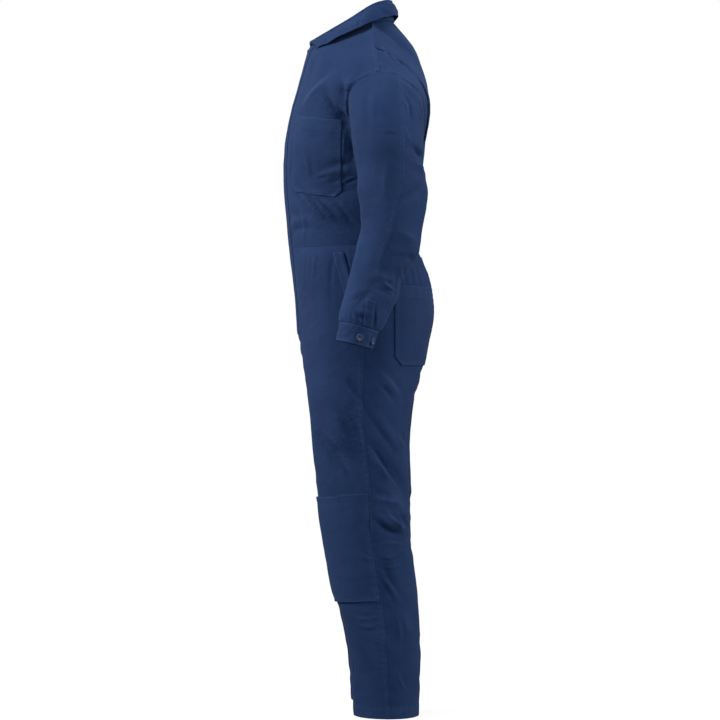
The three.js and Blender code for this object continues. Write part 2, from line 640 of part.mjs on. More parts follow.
// A row of the trousers at v: v counts the rows of the table, 0 at the waist and 1 at the hem.
const TROUSER_V = TROUSERS.map((row, k) => ({ ...row, v: k / (TROUSERS.length - 1) }));
const TROUSER_COLUMNS = ["z", "inner", "middle", "in", "out", "front", "back", "seam", "inseam", "right"];
function trouserRow(v) {
  return Object.fromEntries(TROUSER_COLUMNS.map((key) => [key, smoothAt(TROUSER_V, "v", key, v)]));
}

const FORK_V = 8.5 / (TROUSERS.length - 1); // above it u = 0 is the centre seam, below it the inseam

// A point on the trousers: u runs from the centre seam or inseam (0) to the side seam (1).
function trouserPoint(side, face, u, v) {
  const row = trouserRow(v);
  const half = row.out - row.middle;
  const start = -Math.asin(clamp((row.middle - row.in) / half, 0, 1));
  const angle = lerp(start, Math.PI / 2, u);
  const furthest = face < 0 ? row.front : row.back;
  const end = angle < 0 ? row.inseam : row.seam;
  const shift = side < 0 ? row.right : 0;
  const seam = u === 1 || (u === 0 && start < -1.2) ? HALF_GAP : 0;
  return new THREE.Vector3(
    side * Math.max(row.middle + half * Math.sin(angle), HALF_GAP + 0.05),
    lerp(end, furthest, Math.cos(angle)) + shift + face * seam,
    lerp(row.inner, row.z, u ** 0.8),
  );
}

function trouserPanel(side, face) {
  const name = `trouser_${face < 0 ? "front" : "back"}_${side > 0 ? "left" : "right"}`;
  const us = face < 0 ? evenly(11) : evenly(15);
  const vs = TROUSER_V.map((row) => row.v);
  const topZ = face < 0 ? WAIST_Z - SEAM_GAP : CASING_LOW_Z - SEAM_GAP;
  const topV = solve((v) => trouserRow(v).z, topZ, 0, vs[2]);
  const rows = [topV, ...vs.filter((v) => v > topV + 0.02)];
  const middle = trouserRow(0.5);
  return addPanel(
    name,
    us,
    rows,
    (u, v) => {
      const p = trouserPoint(side, face, u, v);
      if (v === topV) p.z = topZ;
      if (face > 0) {
        const ruche = Math.cos(Math.PI * 14 * u) * smoothStep(0, 0.15, 1 - u) * smoothStep(0, 0.1, u);
        p.y += 2.4 * ruche * smoothStep(topZ - 95, topZ, p.z);
      }
      return p;
    },
    new THREE.Vector3(side * middle.middle, middle.seam, middle.z),
    {
      region: "legs",
      square: (u, v, normal) => {
        if (u === 0 && v < FORK_V) normal.x = 0;
        if (u === 0 && v > FORK_V) normal.y = 0;
        if (u === 1) normal.y = 0;
        if (v === topV) normal.z = 0;
      },
    },
  );
}

// The elastic casing across the back of the waist, ruched from side seam to side seam.
function backCasing() {
  const us = evenly(2 * GATHERS + 1, -1, 1);
  const shares = [0, 0.5, 1];
  addPanel(
    "back_waist_casing",
    us,
    shares,
    (signed, share) => {
      const half = Math.sign(signed) || 1;
      const u = Math.abs(signed);
      const z = lerp(CASING_TOP_Z - SEAM_GAP, CASING_LOW_Z + SEAM_GAP, share);
      const v = solve((at) => trouserRow(at).z, Math.min(z, WAIST_Z), 0, 0.1);
      const p = trouserPoint(1, 1, u, v);
      const side = smoothAt(TORSO, "z", "side", Math.max(z, WAIST_Z)) - TORSO[0].side;
      const seam = smoothAt(TORSO, "z", "seam", Math.max(z, WAIST_Z)) - TORSO[0].seam;
      p.x += side * u ** 2;
      p.y += seam * u ** 4;
      const ruche = Math.cos(Math.PI * GATHERS * signed) * (1 - u ** 8);
      p.y += 1.7 * ruche * Math.cos((Math.PI / 2) * u);
      p.x = u === 0 ? 0 : half * (p.x + 1.7 * ruche * Math.sin((Math.PI / 2) * u));
      return p.setZ(z);
    },
    new THREE.Vector3(0, 0, WAIST_Z),
    {
      wall: DOUBLE,
      square: (signed, share, normal) => {
        if (Math.abs(signed) === 1) normal.set(Math.sign(signed), 0, 0);
        if (share === 0 || share === 1) normal.z = 0;
      },
    },
  );
}

// Sleeves

const LAST_RING = SLEEVE.length - 1;
const SLEEVE_T = SLEEVE.map((row, k) => ({ ...row, t: k, seam: SLEEVE_SEAM[k] }));

function sleeveRing(t) {
  const row = Object.fromEntries(
    ["x", "z", "roll", "wide", "y", "deep", "pitch", "keep", "seam"].map((key) => [
      key,
      smoothAt(SLEEVE_T, "t", key, t),
    ]),
  );
  const across = new THREE.Vector3(Math.cos(radians(row.roll)), 0, Math.sin(radians(row.roll)));
  const back = new THREE.Vector3(0, Math.cos(radians(row.pitch)), -Math.sin(radians(row.pitch)));
  const centre = new THREE.Vector3(row.x, row.y, row.z).addScaledVector(across, row.wide / 2);
  return { ...row, across, back, centre, down: across.clone().cross(back).normalize() };
}

function ringPoint(ring, degrees, grow = 0) {
  return ring.centre
    .clone()
    .addScaledVector(ring.across, (ring.wide / 2 + grow) * Math.cos(radians(degrees)))
    .addScaledVector(ring.back, (ring.deep / 2 + grow) * Math.sin(radians(degrees)));
}

// A point of the left sleeve: degrees from its outermost line towards the back.
function sleevePoint(degrees, t) {
  const ring = sleeveRing(t);
  const p = ringPoint(ring, degrees);
  if (ring.keep > 0) {
    const turn = (((0.5 + degrees / 360) % 1) + 1) % 1;
    const seam = smoothPoint(ARMHOLE, "turn", turn);
    p.addScaledVector(seam.sub(ringPoint(sleeveRing(0), degrees)), ring.keep);
  }
  // The first ring stands clear of the bodice's edge.
  if (t < 0.5) p.add(new THREE.Vector3(1, 0, -0.5));
  return p;
}

function sleevePanel(side, top) {
  const name = `sleeve_${top ? "top" : "under"}_${side > 0 ? "left" : "right"}`;
  const us = evenly(top ? 13 : 12);
  const vs = SLEEVE_T.map((row) => row.t);
  const middle = sleeveRing(7).centre;
  return addPanel(
    name,
    us,
    vs,
    (u, t) => {
      const ring = sleeveRing(t);
      const gap = (HALF_GAP / (ring.deep / 2)) * (180 / Math.PI);
      const [low, high] = top ? [INNER_SEAM - 360, ring.seam] : [ring.seam, INNER_SEAM];
      return sleevePoint(lerp(low + gap, high - gap, u), t).multiply(new THREE.Vector3(side, 1, 1));
    },
    new THREE.Vector3(side * middle.x, middle.y, middle.z),
    {
      region: "sleeves",
      keep: (u, t) => smoothStep(0, 2, t) * smoothStep(LAST_RING, LAST_RING - 1, t),
      square: (u, t, normal) => {
        if (u !== 0 && u !== 1) return;
        const ring = sleeveRing(t);
        const angle = radians((u === 1) === top ? ring.seam : INNER_SEAM);
        normal
          .copy(ring.across)
          .multiplyScalar(Math.cos(angle) / ring.wide)
          .addScaledVector(ring.back, Math.sin(angle) / ring.deep)
          .normalize();
        normal.x *= side;
      },
    },
  );
}

const CUFF_RING = sleeveRing(LAST_RING);
const CUFF_SHRINK = { wide: 4, deep: 6 }; // the cuff narrows a little towards its edge

// A point of the left cuff, down being the distance below the cuff seam.
function cuffPoint(degrees, down, grow) {
  const share = down / CUFF.tall;
  const ring = {
    ...CUFF_RING,
    wide: CUFF_RING.wide - CUFF_SHRINK.wide * share - 3,
    deep: CUFF_RING.deep - CUFF_SHRINK.deep * share - 3,
    centre: CUFF_RING.centre.clone().addScaledVector(CUFF_RING.down, -down),
  };
  return ringPoint(ring, degrees, grow);
}

// How far out the cuff's overlapping end stands, along its angle.
function cuffLift(degrees) {
  return CUFF.lift * smoothStep(-62, -12, degrees);
}

function cuff(side) {
  const name = side > 0 ? "cuff_left" : "cuff_right";
  const low = CUFF.overlapEdge - 360 - CUFF.underlap;
  const us = evenly(33, low, CUFF.overlapEdge);
  const downs = [SEAM_GAP + 0.3, CUFF.tall / 2, CUFF.tall];
  return addPanel(
    name,
    us,
    downs,
    (degrees, down) =>
      cuffPoint(degrees, down, cuffLift(degrees)).multiply(new THREE.Vector3(side, 1, 1)),
    new THREE.Vector3(side * CUFF_RING.centre.x, CUFF_RING.centre.y, CUFF_RING.centre.z - CUFF.tall / 2),
    { wall: DOUBLE },
  );
}

// A round button with a rim and a dished face, its back on the cuff.
function buttonGeometry() {
  const { radius, tall, rim, dish } = BUTTON;
  const profile = [
    [0, 0],
    [radius * 0.8, 0],
    [radius, tall * 0.4],
    [radius * 0.92, tall],
    [radius - rim - 0.6, tall],
    [radius - rim - 1.2, tall - dish],
    [0, tall - dish],
  ];
  const geometry = new THREE.LatheGeometry(profile.map(([x, y]) => new THREE.Vector2(x, y)), 16);
  return geometry.rotateX(Math.PI / 2);
}

function cuffButton(name, side, degrees, lift) {
  const down = CUFF.tall * CUFF.buttonDown;
  const mirror = new THREE.Vector3(side, 1, 1);
  const at = cuffPoint(degrees, down, lift).multiply(mirror);
  const beyond = cuffPoint(degrees, down, lift + 10).multiply(mirror);
  const out = beyond.sub(at).normalize();
  const geometry = buttonGeometry();
  const turn = new THREE.Quaternion().setFromUnitVectors(new THREE.Vector3(0, 0, 1), out);
  geometry.applyQuaternion(turn);
  const seat = at.addScaledVector(out, BUTTON.gap);
  geometry.translate(seat.x, seat.y, seat.z);
  addMesh(name, geometry);
}

// The collar: up from the neckline, over the fold and down to the leaf's edge.
function collar(fronts, back) {
  const clear = DOUBLE + 4.8; // the leaf's underside stays above the shoulders and the fronts
  const stations = evenly(25, -1, 1);
  const rows = [0, 0.17, 0.34, 0.42, 0.5, 0.6, 0.74, 0.88, 1];
  addPanel(
    "collar",
    stations,
    rows,
    (signed, r) => {
      const side = Math.sign(signed) || 1;
      const s = Math.abs(signed);
      const foot = smoothPoint(NECKLINE, "s", lerp(1, COLLAR_END, s));
      foot.z += 1.3;
      const [roll, edge] = ["roll", "edge"].map(
        (line) =>
          new THREE.Vector3(...["X", "Y", "Z"].map((axis) => smoothAt(COLLAR, "s", line + axis, s))),
      );
      const out = edge.clone().sub(roll).setZ(0).normalize();
      const round = 4.2; // the fold is a small arc, wider than the wall is thick
      const p = new THREE.Vector3();
      if (r <= 0.34) p.lerpVectors(foot, roll.clone().addScaledVector(out, -round), r / 0.34);
      else if (r < 0.6) {
        const angle = Math.PI * ((r - 0.34) / 0.26);
        p.copy(roll).addScaledVector(out, -round * Math.cos(angle));
        p.z += round * Math.sin(angle);
      } else {
        const share = (r - 0.6) / 0.4;
        p.lerpVectors(roll.clone().addScaledVector(out, round), edge, share);
        p.z += 3 * Math.sin(Math.PI * share);
        p.addScaledVector(out, 3 * Math.sin(Math.PI * share));
      }
      p.x *= side;
      if (r > 0.5) {
        const under = [...fronts, back].map((panel) => levelUnder(panel, p.x, p.y));
        p.z = Math.max(p.z, Math.max(...under) + clear);
      }
      return p;
    },
    new THREE.Vector3(0, -20, 90),
    { wall: DOUBLE },
  );
}

// Pieces sewn on the panels

function leveled(panel, u, z) {
  const n = panel.vs.length - 1;
  const height = (v) => onPanel(panel, u, v).point.z;
  return solve(height, z, panel.vs[0], panel.vs[n]);
}

// Where a panel's section at a level passes y, and from there inwards by a length of cloth.
function alongLevel(panel, z, edgeY) {
  const us = evenly(46, 0.1, 0.98);
  const spots = us.map((u) => {
    const v = leveled(panel, u, z);
    return { u, v, point: onPanel(panel, u, v).point };
  });
  const lengths = [0];
  for (let k = 1; k < spots.length; k += 1)
    lengths.push(lengths[k - 1] + spots[k].point.distanceTo(spots[k - 1].point));
  const read = (rows, value, at) => {
    let k = 0;
    while (k < rows.length - 2 && (rows[0] < rows.at(-1) ? at > rows[k + 1] : at < rows[k + 1])) k += 1;
    return lerp(value[k], value[k + 1], (at - rows[k]) / (rows[k + 1] - rows[k]));
  };
  const start = read(spots.map((spot) => spot.point.y), lengths, edgeY);
  return (inward) => {
    const u = read(lengths, us, start - inward);
    return { panel, u, v: leveled(panel, u, z) };
  };
}

// A patch pocket with two cut corners: its outer edge is at edgeY and its width is of cloth.
const POCKET_GAP = 1.7;
function patchPocket(name, panel, { wide, tall, chamfer, top, edgeY, slope }) {
  const shares = [...evenly(8, 0, 1 - chamfer / tall), 1];
  const across = evenly(8);
  const places = shares.map((share, i) =>
    across.map((part) => {
      const cut = i === shares.length - 1 ? chamfer : 0;
      const inward = lerp(cut, wide - cut, part);
      const z = top - tall * share - slope * inward;
      return alongLevel(panel, z, edgeY)(inward);
    }),
  );
  addOverlay(name, places, { gap: POCKET_GAP, lift: (i) => (i === 0 ? 0.8 : 0) });
}

// The fly: a strip over the centre front, from the neck to the fork, its free edge on the right.
function fly(left, right, leftLeg, rightLeg) {
  const across = [FLY.right, 0, FLY.left / 3, (2 * FLY.left) / 3, FLY.left];
  const place = (x, z) => {
    const panels = z > WAIST_Z ? [left, right] : [leftLeg, rightLeg];
    return x >= 0 ? facing(panels[0], Math.max(x, 0.4), z) : facing(panels[1], x, z);
  };
  const levels = [FLY.top, -45, -53, -62, -95, -135, -180, -225, -270, -315, -360, -405, -445, -469];
  const lower = [-472, -500, -535, -570, -605, -632, FLY.low];
  const places = [...levels, ...lower].map((z) => across.map((x) => place(x, z)));
  addOverlay("front_fly", places, { wall: FLY.wall, gap: 1.3 });
}

// The faced edge of a slanting hip pocket, from the waist seam down to the side seam.
const HIP_START_U = 0.775;
function hipMouth(side, panel) {
  const steps = evenly(9);
  const places = steps.map((share) => {
    const z = lerp(HIP_MOUTH.top, HIP_MOUTH.low, share);
    const edge = lerp(HIP_START_U, 0.985, share ** 1.15);
    return [edge - 0.085, edge - 0.045, edge].map((u) => ({ panel, u, v: leveled(panel, u, z) }));
  });
  addOverlay(`hip_pocket_edge_${side > 0 ? "left" : "right"}`, places, {
    gap: 1,
    lift: (i, j) => (j === 2 ? 1.6 * Math.sin((Math.PI * i) / 8) : 0),
  });
}

// A knee patch: from inseam to side seam, standing off the leg at its lower edge.
function kneePatch(side, panel) {
  const columns = linesBetween(panel.us, 0.02, 0.98);
  const shares = evenly(9);
  const places = shares.map((share) =>
    columns.map((u) => {
      const z = lerp(KNEE.top, KNEE.low, share) + KNEE.sideRise * u * u;
      return { panel, u, v: leveled(panel, u, z) };
    }),
  );
  addOverlay(`knee_patch_${side > 0 ? "left" : "right"}`, places, {
    lift: (i, j) => {
      const u = columns[j];
      return KNEE.standOff * Math.sin(Math.PI * u) * (0.25 + 0.75 * shares[i] ** 2);
    },
  });
}

// How far along the sleeve's rings the point lies that is some millimetres above its end.
function ringAbove(up) {
  let t = LAST_RING;
  for (let left = up; left > 0; t -= 0.02) left -= sleeveRing(t).centre.distanceTo(sleeveRing(t - 0.02).centre);
  return t;
}

// The strip that finishes the vent above the cuff, on the back sleeve seam.
function ventStrip(side, panel) {
  const steps = evenly(5);
  const degreesWide = (VENT.wide / (CUFF_RING.deep / 2)) * (180 / Math.PI);
  const topSpan = 360 - INNER_SEAM + SLEEVE_SEAM[LAST_RING];
  const uWide = degreesWide / topSpan;
  const places = steps.map((share) => {
    const t = ringAbove(VENT.tall * (1 - share) + 1);
    return [1 - uWide, 1 - uWide / 2, 0.995].map((u) => ({ panel, u, v: t }));
  });
  addOverlay(`sleeve_vent_${side > 0 ? "left" : "right"}`, places, { gap: 1.4 });
}

const fronts = [1, -1].map(bodiceFront);
const back = bodiceBack();
const legFronts = [1, -1].map((side) => trouserPanel(side, -1));
const legBacks = [1, -1].map((side) => trouserPanel(side, 1));
backCasing();
collar(fronts, back);
fly(...fronts, ...legFronts);
[1, -1].forEach((side, k) => {
  const word = side > 0 ? "left" : "right";
  const top = sleevePanel(side, true);
  sleevePanel(side, false);
  cuff(side);
  ventStrip(side, top);
  cuffButton(`cuff_button_${word}`, side, CUFF.fastened, CUFF.lift);
  cuffButton(`cuff_button_spare_${word}`, side, CUFF.spare, 0);
  patchPocket(`chest_pocket_${word}`, fronts[k], CHEST_POCKET);
  patchPocket(`back_pocket_${word}`, legBacks[k], BACK_POCKET);
  hipMouth(side, legFronts[k]);
  kneePatch(side, legFronts[k]);
});

export default suit;
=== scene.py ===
# %% [markdown]
# # A boiler suit, worn by nobody
# The real garment is navy work twill: a bodice, trousers, two-piece sleeves, a turned-down collar,
# a hidden fly, patch pockets and knee patches. It keeps the hollow form of a wearer.
# The CAD frame already holds each piece's true form. Here every piece is laid again as thin cloth
# in the same place, with its folds, seams and stitches.

# %% The frame
import math
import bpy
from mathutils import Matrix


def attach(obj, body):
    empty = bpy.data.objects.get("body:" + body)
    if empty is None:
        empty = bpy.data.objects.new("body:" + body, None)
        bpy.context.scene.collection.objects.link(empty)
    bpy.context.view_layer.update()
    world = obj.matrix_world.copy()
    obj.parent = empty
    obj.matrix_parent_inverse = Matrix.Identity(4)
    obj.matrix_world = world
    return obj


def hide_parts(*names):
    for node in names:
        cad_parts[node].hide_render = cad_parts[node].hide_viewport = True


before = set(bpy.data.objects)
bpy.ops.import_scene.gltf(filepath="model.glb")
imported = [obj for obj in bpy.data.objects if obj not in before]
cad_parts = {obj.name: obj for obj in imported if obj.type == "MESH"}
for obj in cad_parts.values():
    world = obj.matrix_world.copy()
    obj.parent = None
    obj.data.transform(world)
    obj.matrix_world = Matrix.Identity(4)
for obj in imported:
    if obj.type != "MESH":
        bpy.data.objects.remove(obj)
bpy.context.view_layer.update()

from types import SimpleNamespace

import bmesh
import bpy
import numpy as np
from mathutils import Matrix, Vector, kdtree, noise
from mathutils.bvhtree import BVHTree

MM = 0.001
print("CAD nodes:", len(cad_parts))

# %% [markdown]
# ## Tables and smooth curves
# A pattern cutter draws a curve through a few measured points. The same is done here: each table
# holds measures in millimetres, and a smooth curve runs through every column. It could also be
# drawn with Bezier curves, but a table keeps the numbers where they can be read.

# %% Curves through tables


def table(names, text):
    """Columns of numbers by name. A dot stands for a measure that a row doesn't have."""
    rows = [[math.nan if word == "." else float(word) for word in line.split()]
            for line in text.strip().splitlines()]
    return dict(zip(names.split(), np.array(rows).T))


def smooth(xs, ys, at):
    """The value at `at` of the curve through the points xs, ys."""
    if xs[0] > xs[-1]:
        xs, ys = xs[::-1], ys[::-1]
    last = len(xs) - 1
    low = np.maximum(np.arange(last + 1) - 1, 0)
    high = np.minimum(np.arange(last + 1) + 1, last)
    slope = (ys[high] - ys[low]) / (xs[high] - xs[low])
    i = np.clip(np.searchsorted(xs, at) - 1, 0, last - 1)
    span = xs[i + 1] - xs[i]
    t = np.clip((at - xs[i]) / span, 0, 1)
    start = (2 * t**3 - 3 * t**2 + 1) * ys[i] + (t**3 - 2 * t**2 + t) * span * slope[i]
    return start + (3 * t**2 - 2 * t**3) * ys[i + 1] + (t**3 - t**2) * span * slope[i + 1]


def on_curve(rows, by, at):
    return np.stack([smooth(rows[by], rows[axis], at) for axis in "xyz"], -1)


def mix(a, b, share):
    return a + (b - a) * share


def ease(low, high, at):
    """From 0 at low to 1 at high, softly; it falls where low is the higher."""
    t = np.clip((at - low) / (high - low), 0, 1)
    return t * t * (3 - 2 * t)


# %% The garment's measures
SEAM_GAP = 0.3
HALF_GAP = SEAM_GAP / 2
WAIST_Z = -470.0
CASING_TOP_Z = -452.0
CASING_LOW_Z = -488.0
NECK_POINT = 0.8

TORSO = table("z front back side seam", """
-470 -178 98 176 2
-425 -183 98 180 8
-375 -187 100 184 17
-332 -190 103 186 28
""")
FRONT_LINE = table("z y", """
-470 -178
-375 -187
-318 -191
-266 -189
-214 -183
-161 -172
-109 -157
-57 -143
-30 -136
""")
BACK_LINE = table("z y", """
-470 98
-371 100
-266 108
-214 115
-161 122
-120 121
-83 111
-40 96
-4 71
24 47
""")
NECKLINE = table("s x y z", """
0 0.15 -136 -30
0.12 27 -128 -26
0.3 52 -101 -18
0.5 69 -62 -8
0.68 76 -24 3
0.8 77 2 11
0.9 60 32 18
1 0 47 24
""")
ARMHOLE = table("turn x y z", """
0 186 28 -332
0.06 186 0 -322
0.12 187 -22 -298
0.2 190 -38 -252
0.28 197 -47 -205
0.36 210 -50 -160
0.42 222 -36 -134
0.47 232 -10 -118
0.5 236 15 -110
0.54 235 42 -114
0.6 225 75 -133
0.66 211 100 -157
0.74 198 108 -205
0.82 190 101 -255
0.89 187 84 -300
0.95 186 58 -324
1 186 28 -332
""")
FRONT_ROWS = table("centre neck side turn", """
-470 . -470 .
-424 . -413 .
-378 . -372 .
-332 . -332 .
-288 . . 0.05
-246 . . 0.12
-204 . . 0.19
-162 . . 0.25
-122 . . 0.305
-84 . . 0.35
-52 . . 0.38
. 0 . 0.4
. 0.16 . 0.422
. 0.36 . 0.445
. 0.58 . 0.472
. 0.8 . 0.5
""")
BACK_ROWS = table("centre neck side turn", """
-451.7 . -451.7 .
-410 . -413 .
-365 . -372 .
-320 . . 1
-275 . . 0.925
-230 . . 0.86
-185 . . 0.8
-145 . . 0.745
-105 . . 0.69
-70 . . 0.64
-38 . . 0.59
-8 . . 0.545
24 . . 0.5
""")
TROUSERS = table("z inner middle in out front back seam inseam right", """
-470 -470 0 0 176 -178 98 2 0 0
-500 -500 0 0 182 -174 111 -2 0 0
-540 -540 0 0 187 -169 126 -7 -4 0
-595 -595 0 0 191 -164 133 -11 -8 0
-645 -645 8 0 192 -160 129 -15 -12 0
-690 -688 30 0 192 -153 119 -18 -13 0
-730 -726 58 0 192 -147 109 -19 -14 1
-762 -751 81 0 191 -143 101 -20 -15 3
-786 -764 92 0.4 191 -140 94 -20 -16 6
-806 -770 96.4 1.8 191 -138 88 -20 -18 8
-850 -815 98 6 190 -132 78 -18 -26 12
-905 -880 99.5 11 188 -128 74 -11 -26 10
-960 -945 101.5 17 186 -121 78 -6 -22 8
-1010 -1002 103.5 23 184 -115 79 -1 -18 8
-1065 -1062 105 27 183 -108 78 0 -14 7
-1120 -1120 106.5 31 182 -98 85 8 -6 2
-1190 -1190 108.5 35 182 -85 94 18 4 -5
-1228 -1228 110 37.5 182.5 -74 97 22 11 -9
-1290 -1290 112 40 184 -55 101 28 22 -11
-1360 -1360 113.5 42 185 -46 102 32 28 -8
-1465 -1465 115 44 186 -39 98 38 30 -6
""")
SLEEVE = table("x z roll wide y deep pitch keep seam", """
186 -332 76 228 32 156 0 1 27
188.5 -337 62 206 32 152 0 0.62 27
190 -343 48 182 33 146 0 0.3 27
191 -351 35 160 35 140 0 0.1 26
192 -361 24 143 38 139 0 0 24
193 -379 14 133 41 146 0 0 18
195 -403 8 128 42 138 3 0 10
197 -436 6 126 40 128 6 0 5
200 -468 5 124 36 127 9 0 1
203 -495 5 120 29 129 12 0 -3
206 -517 5 116 18 116 14 0 0
208 -538 5 112 8 106 15 0 8
211 -570 5 108 1 108 15 0 15
216 -604 5 104 -12 100 15 0 20
219 -630 4 101 -21 97 14 0 28
222 -641 1 97 -28 87 14 0 34
""")
COLLAR = table("s rollX rollY rollZ edgeX edgeY edgeZ", """
0 0 41 69 0 56 38
0.2 46 29 63 60 45 31
0.38 69 -1 50 97 3 14
0.6 67 -48 21 108 -42 -7
0.82 49 -95 -4 103 -84 -28
1 16 -134 -22 86 -117 -47
""")
# An action pleat in section: how far across it a point lies, how far it stands off the back,
# and the same at the pleat's ends, where a seam holds it down.
PLEAT = table("share rise sunk", """
0 0 0
0.23 3.2 0.4
0.45 5.8 0.7
0.7 6.2 0.7
0.76 4.3 -0.8
0.7 2.5 -2.3
0.48 2.3 -2.4
0.452 1.95 -2.7
0.48 1.6 -3
0.72 1.2 -3.1
0.79 1.2 -1.5
0.88 0.6 -0.3
1 0 0
""")

# %% [markdown]
# ## Surfaces
# Each panel is a function of two shares, u across and v along, that gives a point in space. A box
# with a displacement would never close at the seams; one surface per cut piece does.

# %% Bodice surfaces


def ends_between(rows, line):
    """Both ends of a bodice row, read smoothly along the panel."""
    ends = []
    for centre, neck, side, turn in zip(*rows.values()):
        inner = np.array([0, smooth(line["z"], line["y"], centre), centre])
        outer = np.array([smooth(TORSO["z"], TORSO["side"], side),
                          smooth(TORSO["z"], TORSO["seam"], side), side])
        if math.isnan(centre):
            inner = on_curve(NECKLINE, "s", neck)
        if math.isnan(side):
            outer = on_curve(ARMHOLE, "turn", turn)
        ends.append(np.r_[inner, outer])
    at = np.linspace(0, 1, len(ends))
    return lambda v: [smooth(at, column, v) for column in np.array(ends).T]


def across_row(ends, u, v):
    """A point across a row, which turns from facing front or back to facing sideways."""
    ix, iy, iz, ox, oy, oz = ends
    straight = 0.8 * ease(0.5, 1, v)
    x = mix(ix, ox, mix(np.sin(np.pi / 2 * u), u, straight))
    y = mix(oy, iy, mix(np.cos(np.pi / 2 * u), 1 - u, straight))
    z = mix(iz, oz, u ** mix(1.35, 1.05, straight))
    return np.stack([x, y, z], -1)


front_row = ends_between(FRONT_ROWS, FRONT_LINE)
back_row = ends_between(BACK_ROWS, BACK_LINE)
NECK_SHARE = 0.3


def front_surface(u, v):
    ends = front_row(v)
    ends[0] = np.maximum(ends[0], HALF_GAP)
    p = across_row(ends, u, v)
    p[..., 1] -= SEAM_GAP * (v > 0.9999)
    return p


def back_top(u):
    """The back's top edge: the neckline, then the shoulder seam."""
    neck = on_curve(NECKLINE, "s", mix(1, NECK_POINT, np.minimum(u / NECK_SHARE, 1)))
    shoulder_u = np.clip((u - NECK_SHARE) / (1 - NECK_SHARE), 0, 1)
    one = np.ones_like(u)
    shoulder = across_row(front_row(one), shoulder_u, one)
    return np.where((u <= NECK_SHARE)[..., None], neck, shoulder)


def back_surface(u, v):
    u = np.clip(u, 1e-6, 1)
    one = np.ones_like(v)
    lift = back_top(u) - across_row(back_row(one), u, one)
    return across_row(back_row(v), u, v) + lift * ease(0.62, 1, v)[..., None]


# %% Trouser and sleeve surfaces


def trouser_surface(side, face, u, v):
    """u runs from the centre seam or inseam (0) to the side seam (1), v from waist to hem."""
    steps = np.linspace(0, 1, len(TROUSERS["z"]))
    row = {key: smooth(steps, column, v) for key, column in TROUSERS.items()}
    half = row["out"] - row["middle"]
    start = -np.arcsin(np.clip((row["middle"] - row["in"]) / half, 0, 1))
    angle = mix(start, np.pi / 2, u)
    furthest = row["front"] if face < 0 else row["back"]
    end = np.where(angle < 0, row["inseam"], row["seam"])
    shift = row["right"] if side < 0 else 0
    x = np.maximum(row["middle"] + half * np.sin(angle), HALF_GAP + 0.05)
    y = mix(end, furthest, np.cos(angle)) + shift
    return np.stack([side * x, y, mix(row["inner"], row["z"], u ** 0.8)], -1)


def sleeve_ring(t):
    steps = np.arange(len(SLEEVE["x"]), dtype=float)
    row = {key: smooth(steps, column, t) for key, column in SLEEVE.items()}
    roll, pitch = np.radians(row["roll"]), np.radians(row["pitch"])
    zero = np.zeros_like(roll)
    across = np.stack([np.cos(roll), zero, np.sin(roll)], -1)
    back = np.stack([zero, np.cos(pitch), -np.sin(pitch)], -1)
    corner = np.stack([row["x"], row["y"], row["z"]], -1)
    centre = corner + across * (row["wide"] / 2)[..., None]
    return SimpleNamespace(across=across, back=back, centre=centre, **{
        key: row[key] for key in ("wide", "deep", "keep", "seam")})


def ring_point(ring, degrees, grow=0.0):
    a = np.radians(degrees)
    return (ring.centre + ring.across * ((ring.wide / 2 + grow) * np.cos(a))[..., None]
            + ring.back * ((ring.deep / 2 + grow) * np.sin(a))[..., None])


def sleeve_surface(degrees, t):
    """A point of the left sleeve, degrees from its outermost line towards the back."""
    ring = sleeve_ring(t)
    seam = on_curve(ARMHOLE, "turn", (0.5 + degrees / 360) % 1)
    first = ring_point(sleeve_ring(np.zeros_like(t)), degrees)
    p = ring_point(ring, degrees) + (seam - first) * ring.keep[..., None]
    return p + np.array([1, 0, -0.5]) * ease(0.5, 0, t)[..., None]


# %% [markdown]
# ## Laying a panel
# A panel starts as a flat grid of points 3 to 5 mm apart, with extra lines beside its edges, so
# that a seam's folded edge can be shaped. Its points then move to the surface, and folds, puckers
# and seam ridges move them along the cloth's own normal.

# %% Grids of cloth
CELL = {"left": 3.0, "right": 5.2}  # the left side faces the camera
EDGE_LINES = np.array([0, 1, 3, 6, 9, 12.0])


def spread(lengths, at, cell):
    """Shares along `at` that lie a cell apart on the cloth and closer at both edges."""
    total = lengths[-1]
    count = max(int(round((total - 24) / cell)) + 1, 2)
    inner = np.linspace(EDGE_LINES[-1], total - EDGE_LINES[-1], count)
    marks = np.r_[EDGE_LINES[:-1], inner, total - EDGE_LINES[-2::-1]]
    return np.interp(marks, lengths, at)


def run_lengths(grid, axis):
    steps = np.linalg.norm(np.diff(grid, axis=axis), axis=-1)
    start = np.zeros_like(np.take(steps, [0], axis=axis))
    return np.concatenate([start, np.cumsum(steps, axis=axis)], axis=axis)


def unit(vectors):
    return vectors / np.maximum(np.linalg.norm(vectors, axis=-1, keepdims=True), 1e-9)


def grid_normals(grid, outward):
    """Normals of a grid, turned the way that `outward` says: 1 or -1."""
    across = np.gradient(grid, axis=1)
    up = np.gradient(grid, axis=0)
    return unit(np.cross(across, up)) * outward


def lay_out(name, surface, us, vs, outward, region=""):
    """A panel on a surface, its grid spaced evenly on the cloth."""
    cell = CELL["right" if name.endswith("right") else "left"]
    rough_u = np.linspace(us[0], us[-1], 90)
    rough_v = np.linspace(vs[0], vs[-1], 120)
    rough = surface(*np.meshgrid(rough_u, rough_v))
    if len(us) == 2:
        us = spread(run_lengths(rough, 1).mean(axis=0), rough_u, cell)
    if len(vs) == 2:
        vs = spread(run_lengths(rough, 0).mean(axis=1), rough_v, cell)
    plain = surface(*np.meshgrid(us, vs))
    return SimpleNamespace(name=name, us=us, vs=vs, grid=plain, region=region, outward=outward,
                           normals=grid_normals(plain, outward), edges={})


panels = {}


def add(panel):
    panels[panel.name] = panel
    return panel


